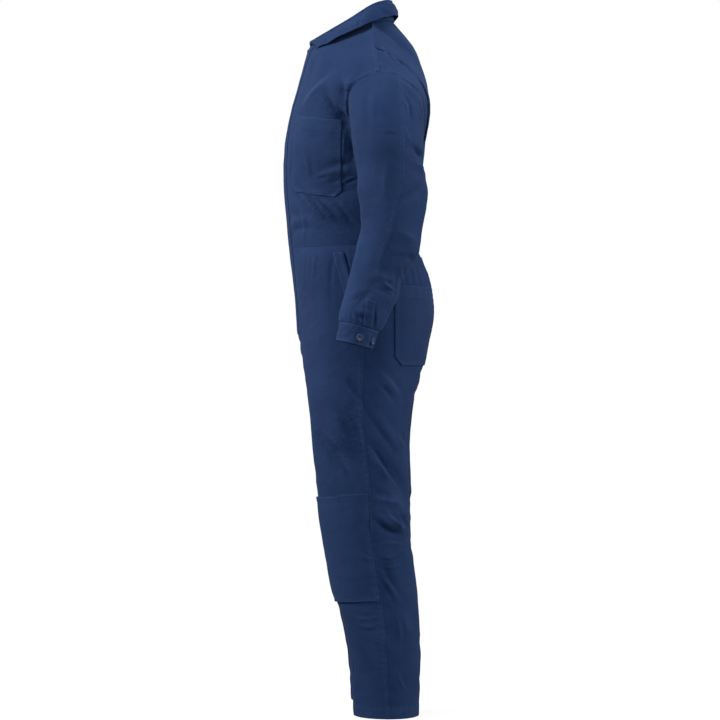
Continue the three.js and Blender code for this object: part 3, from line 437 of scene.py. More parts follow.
TRIM = 0.0008  # keeps a seam's two edges apart
MIRROR = np.array([-1.0, 1, 1])
for side, word in ((1, "left"), (-1, "right")):
    turn = np.array([side, 1.0, 1])
    add(lay_out(f"bodice_front_{word}", lambda u, v: front_surface(u, v) * turn,
                (0, 1 - TRIM), (0, 1), side, region="body"))

# The back's columns: plain cloth, the pleat folded under itself, plain cloth.
plain_u = np.array([0, 0.1, 0.2, 0.3, 0.42])
PLEAT_FROM, PLEAT_TO = 0.52, 0.76
column_u = np.r_[plain_u, mix(PLEAT_FROM, PLEAT_TO, PLEAT["share"]), 0.84, 0.92, 1]
column_rise = np.r_[plain_u * 0, PLEAT["rise"], 0, 0, 0]
column_sunk = np.r_[plain_u * 0, PLEAT["sunk"], 0, 0, 0]
HALF_BACK = 255.0
column_at = np.r_[0, np.cumsum(np.hypot(np.diff(column_u) * HALF_BACK, np.diff(column_rise)))]
last = 4 + len(PLEAT["share"])
fold_at = np.linspace(column_at[5], column_at[last], 50)
half_columns = np.r_[np.linspace(0, column_at[5], 36)[:-1], fold_at,
                     np.linspace(column_at[last], column_at[-1] - 14, 12)[1:],
                     column_at[-1] - np.array([9, 6, 3, 1, 0.3])]


def back_with_pleats(column, v):
    at = np.abs(column)
    u, rise, sunk = (smooth(column_at, c, at) for c in (column_u, column_rise, column_sunk))
    held = np.maximum(ease(0.62, 0.78, v), ease(0.14, 0, v))
    step = 0.01
    across = back_surface(u + step, v) - back_surface(u - step, v)
    up = back_surface(u, np.minimum(v + 0.02, 1)) - back_surface(u, np.maximum(v - 0.02, 0))
    out = -unit(np.cross(across, up))
    p = back_surface(u, v) + out * mix(rise, sunk, held)[..., None]
    p[..., 0] *= np.where(column < 0, -1, 1)
    p[..., 1] += SEAM_GAP * (v > 0.9999) * (u > NECK_SHARE)
    return p


add(lay_out("bodice_back", back_with_pleats,
            np.r_[-half_columns[:0:-1], half_columns], (0, 1), -1, region="body"))

for side, word in ((1, "left"), (-1, "right")):
    for face, name in ((-1, "front"), (1, "back")):
        top_z = WAIST_Z - SEAM_GAP if face < 0 else CASING_LOW_Z - SEAM_GAP
        steps = np.linspace(0, 1, len(TROUSERS["z"]))
        top_v = np.interp(-top_z, -TROUSERS["z"], steps)
        low_u = HALF_GAP / 260

        def surface(u, v, side=side, face=face):
            p = trouser_surface(side, face, u, v)
            if face > 0:
                # Gathers hang down from the elastic casing and fade over the seat.
                wave = np.cos(np.pi * 22 * u + 1.3 * np.sin(9 * u)) * ease(0, 0.1, u)
                depth = 2.6 * ease(-600, -488, p[..., 2]) * ease(0, 0.25, 1 - u)
                p[..., 1] += depth * wave
            return p
        add(lay_out(f"trouser_{name}_{word}", surface, (low_u, 1 - TRIM), (top_v, 1),
                    side * -face * -1, region="legs"))

INNER_SEAM = 200
LAST_RING = len(SLEEVE["x"]) - 1.0
for side, word in ((1, "left"), (-1, "right")):
    turn = np.array([side, 1.0, 1])

    def top_surface(u, t, turn=turn):
        seam = sleeve_ring(t).seam
        return sleeve_surface(mix(INNER_SEAM - 360 + 0.15, seam - 0.15, u), t) * turn

    def under_surface(u, t, turn=turn):
        seam = sleeve_ring(t).seam
        return sleeve_surface(mix(seam + 0.15, INNER_SEAM - 0.15, u), t) * turn
    add(lay_out(f"sleeve_top_{word}", top_surface, (0, 1), (0, LAST_RING), -side, region="sleeves"))
    add(lay_out(f"sleeve_under_{word}", under_surface, (0, 1), (0, LAST_RING), -side, region="sleeves"))

print("panels laid out:", len(panels))

# %% [markdown]
# ## Folds placed one by one
# Work twill is stiff: it breaks into a few broad troughs and ridges where the body bends and where
# seams pull. Each row is one fold, drawn on the garment as it is seen from one side: L looks along
# X, F and B along Y. The three points are its start, middle and end, in millimetres, with
# its half width, its depth (below 0 is a trough), how strongly the cloth beside it rises or sinks
# in answer, and where along it the fold is strongest. Cloth simulation would place folds of its
# own, and these have to lie where the photograph shows them.

# %% The table of folds
FOLDS = """
body L -98 -165 -72 -200 -44 -240 24 -8 0 0.5
body L -158 -178 -120 -146 -80 -118 26 6 0 0.5
body L -128 -372 -75 -358 -20 -350 22 -6 0 0.5
body L -145 -398 -85 -416 -20 -440 22 -5 0 0.5
body B 60 -330 115 -362 170 -400 28 -5 0 0.5
legs L -120 -870 -67 -905 -14 -950 26 -6 0 0.5
legs L -70 -800 -45 -842 -20 -890 24 -3.4 0 0.5
legs L 20 -900 50 -948 74 -1000 22 -4 0 0.5
legs L 12 -955 46 -1005 76 -1050 24 6 0 0.5
legs L 30 -1060 58 -1078 80 -1090 18 -4.5 0 0.5
sleeves L 84 -287 96 -287 107 -285 16 -5 0 0.5
sleeves L 60 -528 70 -526 80 -522 16 -1.5 0 0.5
sleeves L 14 -552 -14 -574 -44 -600 20 -1 0 0.5
body L -143 -167 -110 -135 -75 -108 10 3.5 0.4 0.4
body L -100 -136 -92 -168 -73 -193 9 -4 0.5 0.6
body L -73 -193 -52 -212 -30 -235 10 -4 0.5 0.2
body L -77 -126 -62 -150 -49 -173 12 -7 0.6 0.5
body L -60 -122 -52 -160 -47 -205 8 4 0.3 0.5
body L -43 -244 -46 -280 -41 -320 8 -4 0.5 0.4
body L -147 -256 -136 -290 -128 -330 8 3 0.4 0.4
body L -117 -332 -85 -317 -47 -311 8 3.5 0.5 0.6
body L -115 -347 -85 -336 -52 -332 8 -3 0.4 0.6
body L -164 -351 -118 -392 -58 -466 12 -4 0.4 0.5
body L -128 -362 -100 -402 -58 -457 10 4 0.4 0.5
body L -95 -300 -70 -296 -46 -300 8 -2.5 0.4 0.8
body L 25 -59 52 -86 84 -119 9 4 0.5 0.4
body L 54 -45 78 -70 101 -97 9 4 0.5 0.4
body L 8 -72 20 -96 34 -108 8 2.5 0.4 0.3
body F 70 -55 104 -92 130 -140 16 -3 0.4 0.4
body F 58 -385 84 -400 118 -430 12 -3 0.5 0.4
body F 60 -200 64 -290 60 -370 15 2.5 0.4 0.5
body F 52 -440 90 -428 148 -436 10 -3.5 0.6 0.4
body B 40 -150 30 -245 46 -345 17 -3 0.5 0.4
body B 6 -210 -6 -290 4 -380 20 2.5 0 0.5
body B 100 -385 62 -412 22 -438 13 -4.5 0.6 0.5
body B 60 -424 100 -428 145 -415 10 4 0.4 0.5
body B 165 -300 158 -345 150 -390 12 -4 0.5 0.3
body B 60 -60 100 -78 140 -112 12 3 0.5 0.4
sleeves L 52 -156 68 -200 60 -262 9 3.5 0.5 0.4
sleeves L 76 -167 98 -205 101 -245 9 3.5 0.5 0.4
sleeves L -10 -150 -16 -200 -10 -260 12 -2.5 0.4 0.3
sleeves L 103 -292 90 -281 70 -275 7 -6 0.6 0.1
sleeves L 104 -318 88 -306 70 -303 9 4 0.3 0.1
sleeves L 102 -345 70 -375 30 -390 13 -2.5 0.4 0.3
sleeves L 92 -470 60 -452 20 -447 12 3 0.4 0.2
sleeves L 86 -505 60 -498 30 -502 10 -3.5 0.4 0.1
sleeves L 21 -556 30 -564 42 -571 5 -3.8 0.5 0.5
sleeves L -2 -563 -22 -588 -47 -608 9 -2 0.5 0.4
sleeves L 40 -548 12 -540 -20 -545 10 2.5 0.4 0.3
sleeves L -40 -616 -26 -622 -10 -628 6 -4.5 0.5 0.7
sleeves L 20 -600 34 -584 46 -574 8 3 0.4 0.6
sleeves L -30 -420 -26 -470 -40 -520 12 2 0.4 0.5
sleeves B 232 -300 255 -310 285 -300 11 -4 0.5 0.5
sleeves B 225 -500 255 -512 300 -505 11 -4 0.5 0.6
sleeves F 215 -470 240 -490 280 -480 12 -3.5 0.5 0.4
sleeves F 210 -405 240 -420 280 -395 14 2.5 0.4 0.4
legs L -58 -742 -42 -770 -22 -805 12 -2.4 0.4 0.4
legs L -68 -816 -42 -860 -16 -910 14 -4.5 0.4 0.6
legs L -110 -879 -85 -925 -58 -963 15 -4 0.4 0.6
legs L -7 -900 20 -945 54 -994 12 3 0.6 0.5
legs L 51 -868 62 -888 77 -910 9 4 0.6 0.4
legs L 33 -1036 54 -1058 75 -1068 10 5 0.6 0.7
legs L 5 -1036 30 -1062 58 -1078 8 -3.5 0.4 0.6
legs L 16 -1131 32 -1160 50 -1198 13 -3 0.6 0.3
legs L 12 -1262 26 -1300 52 -1330 16 2.5 0.4 0.5
legs L -20 -1330 4 -1370 20 -1420 16 -2.5 0.4 0.4
legs L 60 -1240 74 -1270 80 -1310 14 2.5 0.4 0.5
legs L -40 -610 -30 -680 -34 -740 18 2.5 0.4 0.5
legs F 8 -690 36 -664 70 -652 12 -3.5 0.5 0.2
legs F 10 -722 36 -708 72 -712 11 -3 0.5 0.2
legs F 14 -764 40 -786 76 -820 13 -3 0.5 0.3
legs F 55 -500 62 -560 58 -640 18 2.5 0.4 0.4
legs F 40 -955 92 -972 150 -958 11 1 0.5 0.5
legs F 60 -1244 104 -1256 152 -1248 11 -1.5 0.5 0.5
legs F 56 -1330 100 -1356 158 -1348 15 -1.2 0.5 0.4
legs F 66 -1420 108 -1408 162 -1422 11 -1 0.5 0.5
legs B 8 -706 56 -734 118 -748 13 -5.5 0.5 0.3
legs B 14 -752 64 -776 140 -778 12 -4 0.5 0.3
legs B 30 -560 20 -620 34 -690 20 2.5 0.3 0.5
legs B 40 -1006 92 -1024 150 -1014 11 -1.8 0.6 0.5
legs B 46 -1050 98 -1062 156 -1050 11 1.6 0.5 0.5
legs B 60 -1100 104 -1112 160 -1104 11 -1.4 0.5 0.5
legs B 58 -1290 104 -1312 160 -1304 15 -1.2 0.5 0.5
legs B 64 -1400 110 -1388 164 -1402 13 -1 0.5 0.5
body L 23 -47 29 -71 48 -98 4 3.3 0.6 0.4
body L 52 -86 78 -103 107 -130 5 4.5 0.6 0.5
body L 46 -64 73 -92 103 -122 4 -3 0.3 0.5
body L 61 -37 80 -58 103 -90 4.5 3.3 0.5 0.5
body L 56 -45 80 -73 101 -98 4 -3 0.3 0.5
body L 67 -28 86 -50 101 -71 4 2.4 0.4 0.5
sleeves L 59 -133 80 -150 101 -175 4 3.6 0.6 0.4
sleeves L 59 -148 76 -173 93 -206 4 3.6 0.6 0.4
sleeves L 61 -142 80 -163 99 -192 3.5 -3 0.3 0.5
sleeves L 68 -175 72 -202 74 -233 3.5 3.3 0.6 0.4
sleeves L 63 -163 76 -190 84 -225 3.5 -3 0.3 0.5
sleeves L 82 -194 93 -215 101 -244 4 3 0.5 0.4
sleeves L 26 -113 34 -121 43 -131 3 2.1 0.5 0.5
sleeves L 74 -267 91 -279 107 -290 4 -4.5 0.5 0.8
sleeves L 65 -238 70 -248 76 -265 4 2.4 0.5 0.5
sleeves L 11 -248 36 -250 61 -252 4 -1.8 0.4 0.5
sleeves L -5 -158 -1 -200 -3 -252 6 1.5 0.4 0.5
sleeves L 32 -304 24 -346 28 -388 7 1.8 0.4 0.5
body L -81 -183 -56 -200 -33 -230 5 -6 0.5 0.6
body L -60 -232 -60 -261 -62 -295 3.5 3.3 0.5 0.5
body L -50 -232 -43 -266 -37 -304 4 -4.5 0.4 0.6
body L -79 -120 -66 -143 -50 -168 4 2.7 0.5 0.5
body L -119 -329 -92 -321 -58 -312 3.2 -3.9 0.6 0.3
body L -69 -344 -50 -336 -30 -329 3.2 -3.6 0.6 0.6
body L -107 -344 -79 -346 -43 -342 3 -2 0.5 0.5
body L -162 -344 -136 -378 -90 -435 7 4.8 0.5 0.4
body L -128 -355 -98 -391 -56 -435 6 -4.8 0.5 0.5
body L -90 -363 -64 -397 -33 -435 5 -3.9 0.5 0.6
body L -134 -283 -132 -304 -126 -331 3.5 2.7 0.5 0.5
body L -153 -382 -145 -425 -147 -467 6 2.7 0.4 0.5
legs L -121 -483 -125 -517 -129 -563 5 2.7 0.4 0.3
legs L -140 -479 -142 -517 -146 -563 5 -2.1 0.4 0.3
legs L -81 -483 -89 -542 -85 -616 7 -2.7 0.4 0.3
sleeves L 22 -554 32 -561 45 -569 4 4.5 0.8 0.4
sleeves L 9 -567 24 -571 40 -581 5 -3 0.4 0.5
sleeves L 53 -515 59 -550 53 -584 5 3.9 0.5 0.5
sleeves L 53 -584 38 -598 30 -623 5 3.9 0.5 0.5
sleeves L 45 -531 47 -559 38 -586 5 -3 0.5 0.5
sleeves L -51 -592 -35 -586 -10 -573 8 -1.6 0.4 0.5
sleeves L -66 -613 -64 -621 -64 -632 2.6 -2.4 0.5 0.9
sleeves L -55 -609 -53 -621 -53 -634 2.6 -2.7 0.5 0.9
sleeves L -45 -613 -43 -623 -41 -636 2.6 -2.7 0.5 0.9
sleeves L -30 -611 -30 -625 -26 -640 2.8 -2.7 0.5 0.9
sleeves L 3 -602 5 -623 3 -646 3 -3.9 0.5 0.7
legs L -11 -894 14 -930 52 -984 5 5.4 0.6 0.5
legs L -14 -820 24 -871 66 -934 9 -4 0.4 0.5
legs L -77 -803 -56 -860 -22 -925 10 -3.2 0.4 0.5
legs L -62 -763 -33 -795 -18 -845 6 3.6 0.5 0.4
legs L -62 -820 -43 -852 -30 -881 5 2.7 0.5 0.5
legs L -104 -858 -66 -898 -26 -955 8 2.8 0.5 0.5
legs L -89 -896 -58 -942 -33 -980 7 -3.3 0.4 0.5
legs L 10 -761 33 -778 52 -812 6 -3.6 0.5 0.4
legs L 12 -736 41 -763 62 -799 6 3 0.5 0.5
legs L 33 -1039 48 -1054 64 -1073 3.5 4.8 0.6 0.6
legs L 62 -1029 69 -1048 75 -1069 3 3.9 0.5 0.6
legs L -1 -1041 26 -1062 62 -1079 6 -6 0.5 0.6
legs L -9 -1043 -7 -1062 -5 -1083 3 -3 0.5 0.5
legs L -1 -1003 29 -1006 62 -1018 7 3.3 0.4 0.5
legs L 12 -1102 41 -1096 71 -1104 3.5 2.7 0.6 0.5
legs L 7 -1121 35 -1132 62 -1117 3.5 -2.7 0.6 0.5
legs L 12 -1138 37 -1147 66 -1136 3.5 2.1 0.6 0.5
legs L -35 -1113 -18 -1123 3 -1132 3.5 2.1 0.6 0.5
legs L 18 -1159 39 -1189 60 -1218 4.5 3 0.6 0.4
legs L 20 -1176 35 -1199 48 -1229 4 -2.4 0.5 0.4
legs L -43 -1248 -18 -1256 12 -1250 4 1.8 0.5 0.5
legs L -35 -1273 -9 -1279 16 -1273 4 -1.8 0.5 0.5
legs L 50 -1241 58 -1283 56 -1332 5 2.4 0.5 0.5
legs L -47 -1321 -39 -1368 -43 -1416 5 -2.1 0.5 0.5
legs L 50 -1359 60 -1389 75 -1414 4.5 2.4 0.5 0.5
legs L -58 -485 -54 -506 -47 -534 3.5 -5.5 0.3 0.5
legs L 33 -1037 48 -1052 64 -1071 4.5 6 0.3 0.6
legs L 62 -1027 69 -1048 75 -1071 3.5 4 0.3 0.6
legs L -11 -892 14 -928 52 -984 5 3 0.6 0.5
sleeves L 22 -554 32 -561 45 -569 4 3 0.3 0.4
sleeves L 61 -135 82 -152 103 -177 5 2.4 0.3 0.4
sleeves L 65 -169 72 -200 74 -236 4 2.4 0.3 0.4
"""
SEEN = {"L": ((1000, 0, 0), (-1, 0, 0), 1),
        "F": ((0, -1000, 0), (0, 1, 0), 0), "B": ((0, 1000, 0), (0, -1, 0), 0)}


def tree_of(names, key="grid"):
    """A search tree of the facets of some panels."""
    points, quads, start = [], [], 0
    for name in names:
        grid = getattr(panels[name], key)
        rows, columns = grid.shape[:2]
        index = start + np.arange(rows * columns).reshape(rows, columns)
        quads += np.stack([index[:-1, :-1], index[:-1, 1:], index[1:, 1:], index[1:, :-1]],
                          -1).reshape(-1, 4).tolist()
        points += grid.reshape(-1, 3).tolist()
        start += rows * columns
    return BVHTree.FromPolygons(points, quads)


REGIONS = {region: [n for n, p in panels.items() if p.region == region]
           for region in ("body", "legs", "sleeves")}
region_trees = {region: tree_of(names) for region, names in REGIONS.items()}


def read_folds():
    """Each fold as a curve of nine points that lie on the cloth."""
    folds = []
    for line in FOLDS.strip().splitlines():
        region, seen, *numbers = line.split()
        *marks, wide, depth, answer, peak = map(float, numbers)
        start, look, plane = SEEN[seen]
        for side in (1, -1):
            # The other side wears the same folds, each shifted a little and of another depth.
            shift = 0 if side > 0 else 7 * math.sin(sum(marks))
            path = []
            for t in np.linspace(0, 1, 9):
                weights = ((1 - t) * (1 - 2 * t), 4 * t * (1 - t), t * (2 * t - 1))
                a, b = (sum(w * m for w, m in zip(weights, marks[k::2])) for k in (0, 1))
                spot = Vector(start)
                spot[plane], spot.z = a, b + shift
                spot.x *= side
                hit = region_trees[region].ray_cast(spot, Vector((side * look[0], look[1], 0)))[0]
                if hit is None:
                    near = spot * 0.18 + Vector((0, 0, 0.82 * spot.z))
                    hit = region_trees[region].find_nearest(near)[0]
                path.append(hit)
            folds.append((region, np.array(path), wide, depth * (1 + 0.02 * shift), answer, peak))
    return folds


folds = read_folds()
print("folds:", len(folds))

# %% How far folds and small crumples move a point


def fold_shift(region, points, normals):
    """How far the folds move each point, and how strongly they crease the cloth around it."""
    flat, facing = points.reshape(-1, 3), normals.reshape(-1, 3)
    shift, creased = np.zeros(len(flat)), np.zeros(len(flat))
    for on, path, wide, depth, answer, peak in folds:
        if on != region:
            continue
        reach = 3.4 * wide
        near = np.all((flat > path.min(axis=0) - reach) & (flat < path.max(axis=0) + reach), axis=1)
        if not near.any():
            continue
        p, n = flat[near][:, None], facing[near]
        a, along = path[:-1], np.diff(path, axis=0)
        share = np.clip(((p - a) * along).sum(-1) / (along ** 2).sum(-1), 0, 1)
        away = p - (a + along * share[..., None])
        distance = np.linalg.norm(away, axis=-1)
        k = distance.argmin(axis=1)
        rows = np.arange(len(k))
        across = unit(np.cross(n, along[k]))
        aside = (away[rows, k] * across).sum(-1)
        s = (k + share[rows, k]) / len(along)
        d = distance[rows, k]
        held = np.minimum(s / max(peak, 0.02), (1 - s) / max(1 - peak, 0.02))
        strength = 0.15 + 0.85 * ease(0, 1, held)
        beside = np.sqrt(np.maximum(d ** 2 - aside ** 2, 0) + (aside - 1.7 * wide) ** 2)
        shape = 0.35 * np.exp(-(d / wide) ** 2) + 0.65 * np.exp(-np.abs(d / (0.55 * wide)) ** 1.4)
        shape = shape - answer * np.exp(-(beside / wide) ** 2)
        shift[near] += depth * strength * shape
        creased[near] += 0.14 * abs(depth) * strength * np.exp(-(d / (1.8 * wide)) ** 2)
    return shift.reshape(points.shape[:2]), np.clip(creased, 0, 1).reshape(points.shape[:2])


# Patches of painted light (above 0) and painted shade (below 0) in the cloth's colour, such as the
# arm's shadow on the hip: the middle's y and z, the half height and half width of the area, and how much.
LIGHT_AND_SHADE_PATCHES = """
body -47 -64 80 63 -0.22
sleeves -1 -152 46 46 -0.2
sleeves -26 -236 19 52 -0.12
sleeves 68 -388 42 105 0.14
sleeves 3 -565 29 25 0.2
body -69 -403 34 63 -0.12
legs -77 -559 29 101 -0.26
legs -22 -1406 46 105 -0.2
legs -22 -1279 38 63 -0.12
legs -153 -521 21 105 0.16
body -179 -319 17 126 0.16
legs 43 -763 34 38 0.12
body 76 -117 34 55 0.12
legs 26 -1016 34 25 0.14
"""


# Adds the patches of painted light and painted shade to a region's points.
def paint_light_and_shade(region, points):
    shade = np.zeros(points.shape[:2])
    for line in LIGHT_AND_SHADE_PATCHES.strip().splitlines():
        on, *numbers = line.split()
        y, z, wide, tall, amount = map(float, numbers)
        if on == region:
            shade += amount * np.exp(-((points[..., 1] - y) / wide) ** 2
                                     - ((points[..., 2] - z) / tall) ** 2)
    return shade


def unevenness(points, size, offset=0.0):
    flat = (points.reshape(-1, 3) / size + offset).tolist()
    return np.array([noise.noise(p) for p in flat]).reshape(points.shape[:-1])


def crumple(points):
    """The low unevenness that cloth keeps between its folds."""
    broad = unevenness(points, np.array([75, 75, 95.0]))
    small = 0.5 - np.abs(unevenness(points, np.array([34, 34, 30.0]), 9.5))
    return 1.5 * broad + 0.9 * small


# %% [markdown]
# ## Seams
# Where two pieces meet they are felled: the edge is folded under and sewn down with two rows. It
# shows as a flat ridge about 9 mm wide that puckers a little. Both pieces of a seam share their
# edge normals, so that a fold crosses the seam without opening it.

# %% Edges, ridges and puckers
FELL = {"double": 9.5, "single": 3.0, "hem": 23.0}
ROW_CODE = {"double": 0.0, "single": 0.5, "hem": 1.0}
NOT_SEWN = 99.0
FORK_SHARE = 0.43
EDGES = {
    "bodice_front": {"right": "double", "high": "double"},
    "bodice_back": {"left": "double", "right": "double"},
    "trouser_front": {"left": "double", "right": "double", "low": "double", "high": "hem"},
    "trouser_back": {"high": "hem"},
    "sleeve_top": {"right": "double"},
    "sleeve_under": {"right": "double"},
}


def share_edge_normals(names):
    """Gives the panels' edges the mean normal of all edges beside them."""
    spots, facing, owner = [], [], []
    for name in names:
        p = panels[name]
        rim = np.ones(p.grid.shape[:2], bool)
        rim[1:-1, 1:-1] = False
        where = np.argwhere(rim)
        spots += p.grid[rim].tolist()
        facing += p.normals[rim].tolist()
        owner += [(name, *ij) for ij in where.tolist()]
    tree = kdtree.KDTree(len(spots))
    for k, spot in enumerate(spots):
        tree.insert(spot, k)
    tree.balance()
    facing = np.array(facing)
    for k, (name, i, j) in enumerate(owner):
        near = tree.find_range(spots[k], 5)
        index = [n[1] for n in near]
        weight = np.array([math.exp(-(n[2] / 2.5) ** 2) for n in near])
        weight *= facing[index] @ facing[k] > 0.2
        panels[name].normals[i, j] = unit((facing[index] * weight[:, None]).sum(axis=0))


for names in REGIONS.values():
    share_edge_normals(names)


def edge_distances(grid):
    """How far each point lies from the panel's four edges, and how far along them."""
    along_u, along_v = run_lengths(grid, 1), run_lengths(grid, 0)
    return {"left": (along_u, along_v), "right": (along_u[:, -1:] - along_u, along_v),
            "low": (along_v, along_u), "high": (along_v[-1:] - along_v, along_u)}


def soften_edges(panel, reach=24.0):
    """Turns the normals beside an edge gradually to the edge's own."""
    away = edge_distances(panel.grid)
    own = panel.normals.copy()
    for edge, pick in (("left", np.s_[:, :1]), ("right", np.s_[:, -1:]),
                       ("low", np.s_[:1]), ("high", np.s_[-1:])):
        weight = ease(reach, 0, away[edge][0])[..., None]
        panel.normals += weight * (own[pick] - own)
    panel.normals = unit(panel.normals)


def sew_edges(grid, styles, puckers=1.0):
    """The ridges and puckers along sewn edges, and where the rows of stitches lie."""
    away = edge_distances(grid)
    shift = np.zeros(grid.shape[:2])
    rows = {}
    for pair, layer in ((("left", "right"), "SideStitch"), (("low", "high"), "EndStitch")):
        along = np.zeros(grid.shape[:2])
        code = np.full(grid.shape[:2], NOT_SEWN)
        for edge in pair:
            style = styles.get(edge)
            if style is None:
                continue
            mask = styles.get(edge + "_where", 1.0)
            distance, length = away[edge]
            wide = FELL[style]
            ridge = 0.6 * ease(wide + 2, wide - 0.5, distance)
            uneven = unevenness(grid, 48.0, 3.3)
            wave = np.sin(2 * np.pi * length / 12.5 + 5 * uneven + distance * 0.12)
            fade = np.exp(-((distance - wide / 2) / (wide / 2 + 6)) ** 2)
            fade *= 0.3 + 0.7 * ease(0, 5, distance)
            shift += mask * (ridge + puckers * (0.22 + 0.45 * np.abs(uneven)) * wave * fade)
            near = (distance < wide + 12) & (mask > 0.5) & (distance < code)
            along = np.where(near, length, along)
            code = np.where(near, distance * MM + ROW_CODE[style], code)
        rows[layer] = np.stack([along * MM, code], -1)
    return shift, rows


TUCKED = {  # edges that go under their neighbour, and on which part of the edge: "over" the fork or not
    "trouser_back_left": {"right": "all", "left": "under"},
    "trouser_back_right": {"right": "all", "left": "all"},
    "trouser_front_left": {"low": "all"}, "trouser_front_right": {"left": "over", "low": "all"},
    "bodice_back": {"high": "all"},
    "sleeve_top_left": {"low": "all"}, "sleeve_top_right": {"low": "all"},
    "sleeve_under_left": {"left": "all", "right": "all", "low": "all"},
    "sleeve_under_right": {"left": "all", "right": "all", "low": "all"}}


def tuck_under(panel, edge, part, reach=5.0, sink=1.7):
    """Adds the turned-in strip of cloth that lies under the neighbour at a seam."""
    if part != "all":
        over = panel.vs < FORK_SHARE
        reach = np.where(over if part == "over" else ~over, reach, 0.3)[:, None, None]
    axis, first = (1, edge == "left") if edge in ("left", "right") else (0, edge == "low")
    at, beside = (0, 1) if first else (-1, -2)

    def pick(values, k):
        return np.take(values, [k % values.shape[axis]], axis=axis)

    def join(values, strip):
        return np.concatenate([strip, values] if first else [values, strip], axis=axis)

    away = unit(pick(panel.flat, at) - pick(panel.flat, beside)) * reach
    shift = away - pick(panel.normals, at) * sink
    panel.grid = join(panel.grid, pick(panel.grid, at) + shift)
    panel.flat = join(panel.flat, pick(panel.flat, at) + away)
    panel.normals = join(panel.normals, pick(panel.normals, at))
    panel.wear = join(panel.wear, pick(panel.wear, at))
    panel.creased = join(panel.creased, pick(panel.creased, at))
    panel.rows = {layer: join(v, pick(v, at) * [1, 0] + [0, NOT_SEWN]) for layer, v in panel.rows.items()}
    marks = panel.us if axis == 1 else panel.vs
    beyond = marks[at] + (marks[at] - marks[beside])
    marks = np.r_[beyond, marks] if first else np.r_[marks, beyond]
    if axis == 1:
        panel.us = marks
    else:
        panel.vs = marks


def finish_panel(panel):
    kind = panel.name.rsplit("_", 1)[0] if panel.name != "bodice_back" else panel.name
    styles = dict(EDGES[kind])
    v = panel.vs[:, None]
    away = edge_distances(panel.grid)
    keep = np.ones(panel.grid.shape[:2])
    if panel.region == "body":
        armhole = v > 0.22
        keep *= ease(0, 14, away["low"][0]) * ease(0, 9, away["high"][0])
        sides = away["right"][0]
        if kind == "bodice_back":
            sides = np.minimum(sides, away["left"][0])
            styles["left_where"] = styles["right_where"] = np.where(v > 0.25, 1.0, 0.0)
        keep *= np.where(armhole, ease(0, 8, sides), 1)
    elif panel.region == "legs":
        keep *= ease(0, 14, away["low"][0])
        if panel.name == "trouser_back_left":
            styles["left"] = "double"
            styles["left_where"] = np.where(v < FORK_SHARE, 1.0, 0.0)
        if kind == "trouser_front":
            styles["left_where"] = np.where(v > FORK_SHARE, 1.0, 0.0)
            styles["low_where"] = 0.15 + 0.6 * ease(0.55, 0.7, panel.us)[None]
    else:
        keep *= ease(0, 9, away["low"][0]) * ease(0, 5, away["high"][0])
    soften_edges(panel)
    sewn, panel.rows = sew_edges(panel.grid, styles)
    big, panel.creased = fold_shift(panel.region, panel.grid, panel.normals)
    small = crumple(panel.grid)
    # Colour value that is part wear and part painted light and shade: seam ridges rubbed paler, fold and
    # crumple ridges painted paler and their troughs painted darker, plus the patches of painted light and
    # shade.
    panel.wear = 0.5 + 0.05 * big + 0.1 * small + 0.12 * sewn + paint_light_and_shade(panel.region, panel.grid)
    panel.wear = np.clip(panel.wear, 0, 1)
    panel.flat = panel.grid
    panel.grid = panel.grid + panel.normals * ((big + small) * keep + sewn)[..., None]
    panel.normals = grid_normals(panel.grid, panel.outward)
    for edge, part in TUCKED.get(panel.name, {}).items():
        tuck_under(panel, edge, part)


for panel in panels.values():
    finish_panel(panel)
print("folds and seams shaped on", len(panels), "panels")

# %% [markdown]
# ## The cloth's finish
# Navy twill is matt, with a faint sheen where light grazes it. Up close it has a fine diagonal
# wale; its sewing thread is a shade lighter than the cloth, and its seams are rubbed paler. An
# image texture would need a file, so the wale and the stitches are worked out from the piece's own
# UV maps, which hold true lengths of cloth in metres. Its paling comes from a value on each point
# that holds wear and painted light and shade: fold ridges painted paler, troughs painted darker.

# %% Shader maths as plain expressions


class Sum:
    """A shader value that can be added and multiplied like a number."""

    def __init__(self, paint, socket):
        self.paint, self.socket = paint, socket

    def __add__(self, other):
        return self.paint.maths("ADD", self, other)

    def __mul__(self, other):
        return self.paint.maths("MULTIPLY", self, other)

    def __sub__(self, other):
        return self.paint.maths("SUBTRACT", self, other)

    def __rsub__(self, other):
        return self.paint.maths("SUBTRACT", other, self)

    def __truediv__(self, other):
        return self.paint.maths("DIVIDE", self, other)

    __radd__ = __add__
    __rmul__ = __mul__


class Paint:
    """A material and the nodes that are added to it."""

    def __init__(self, name):
        self.material = bpy.data.materials.new(name)
        self.material.use_nodes = True
        self.tree = self.material.node_tree
        self.shader = self.tree.nodes["Principled BSDF"]

    def link(self, value, socket):
        if isinstance(value, Sum):
            self.tree.links.new(value.socket, socket)
        else:
            socket.default_value = value

    def node(self, kind, settings=None, inputs=None, output=0):
        made = self.tree.nodes.new(kind)
        for key, value in (settings or {}).items():
            if key == "stops":
                for at, colour in value:
                    stop = made.color_ramp.elements.new(at)
                    stop.color = colour
                continue
            setattr(made, key, value)
        for key, value in (inputs or {}).items():
            self.link(value, made.inputs[key])
        return Sum(self, made.outputs[output])

    def maths(self, operation, *values, clamp=False):
        return self.node("ShaderNodeMath", {"operation": operation, "use_clamp": clamp},
                         dict(enumerate(values)))

    def split(self, vector):
        made = self.tree.nodes.new("ShaderNodeSeparateXYZ")
        self.link(vector, made.inputs[0])
        return [Sum(self, socket) for socket in made.outputs]

    def blend(self, share, a, b):
        """A colour between a and b."""
        made = self.tree.nodes.new("ShaderNodeMix")
        made.data_type = "RGBA"
        for key, value in ((0, share), (6, a), (7, b)):
            self.link(value, made.inputs[key])
        return Sum(self, made.outputs[2])


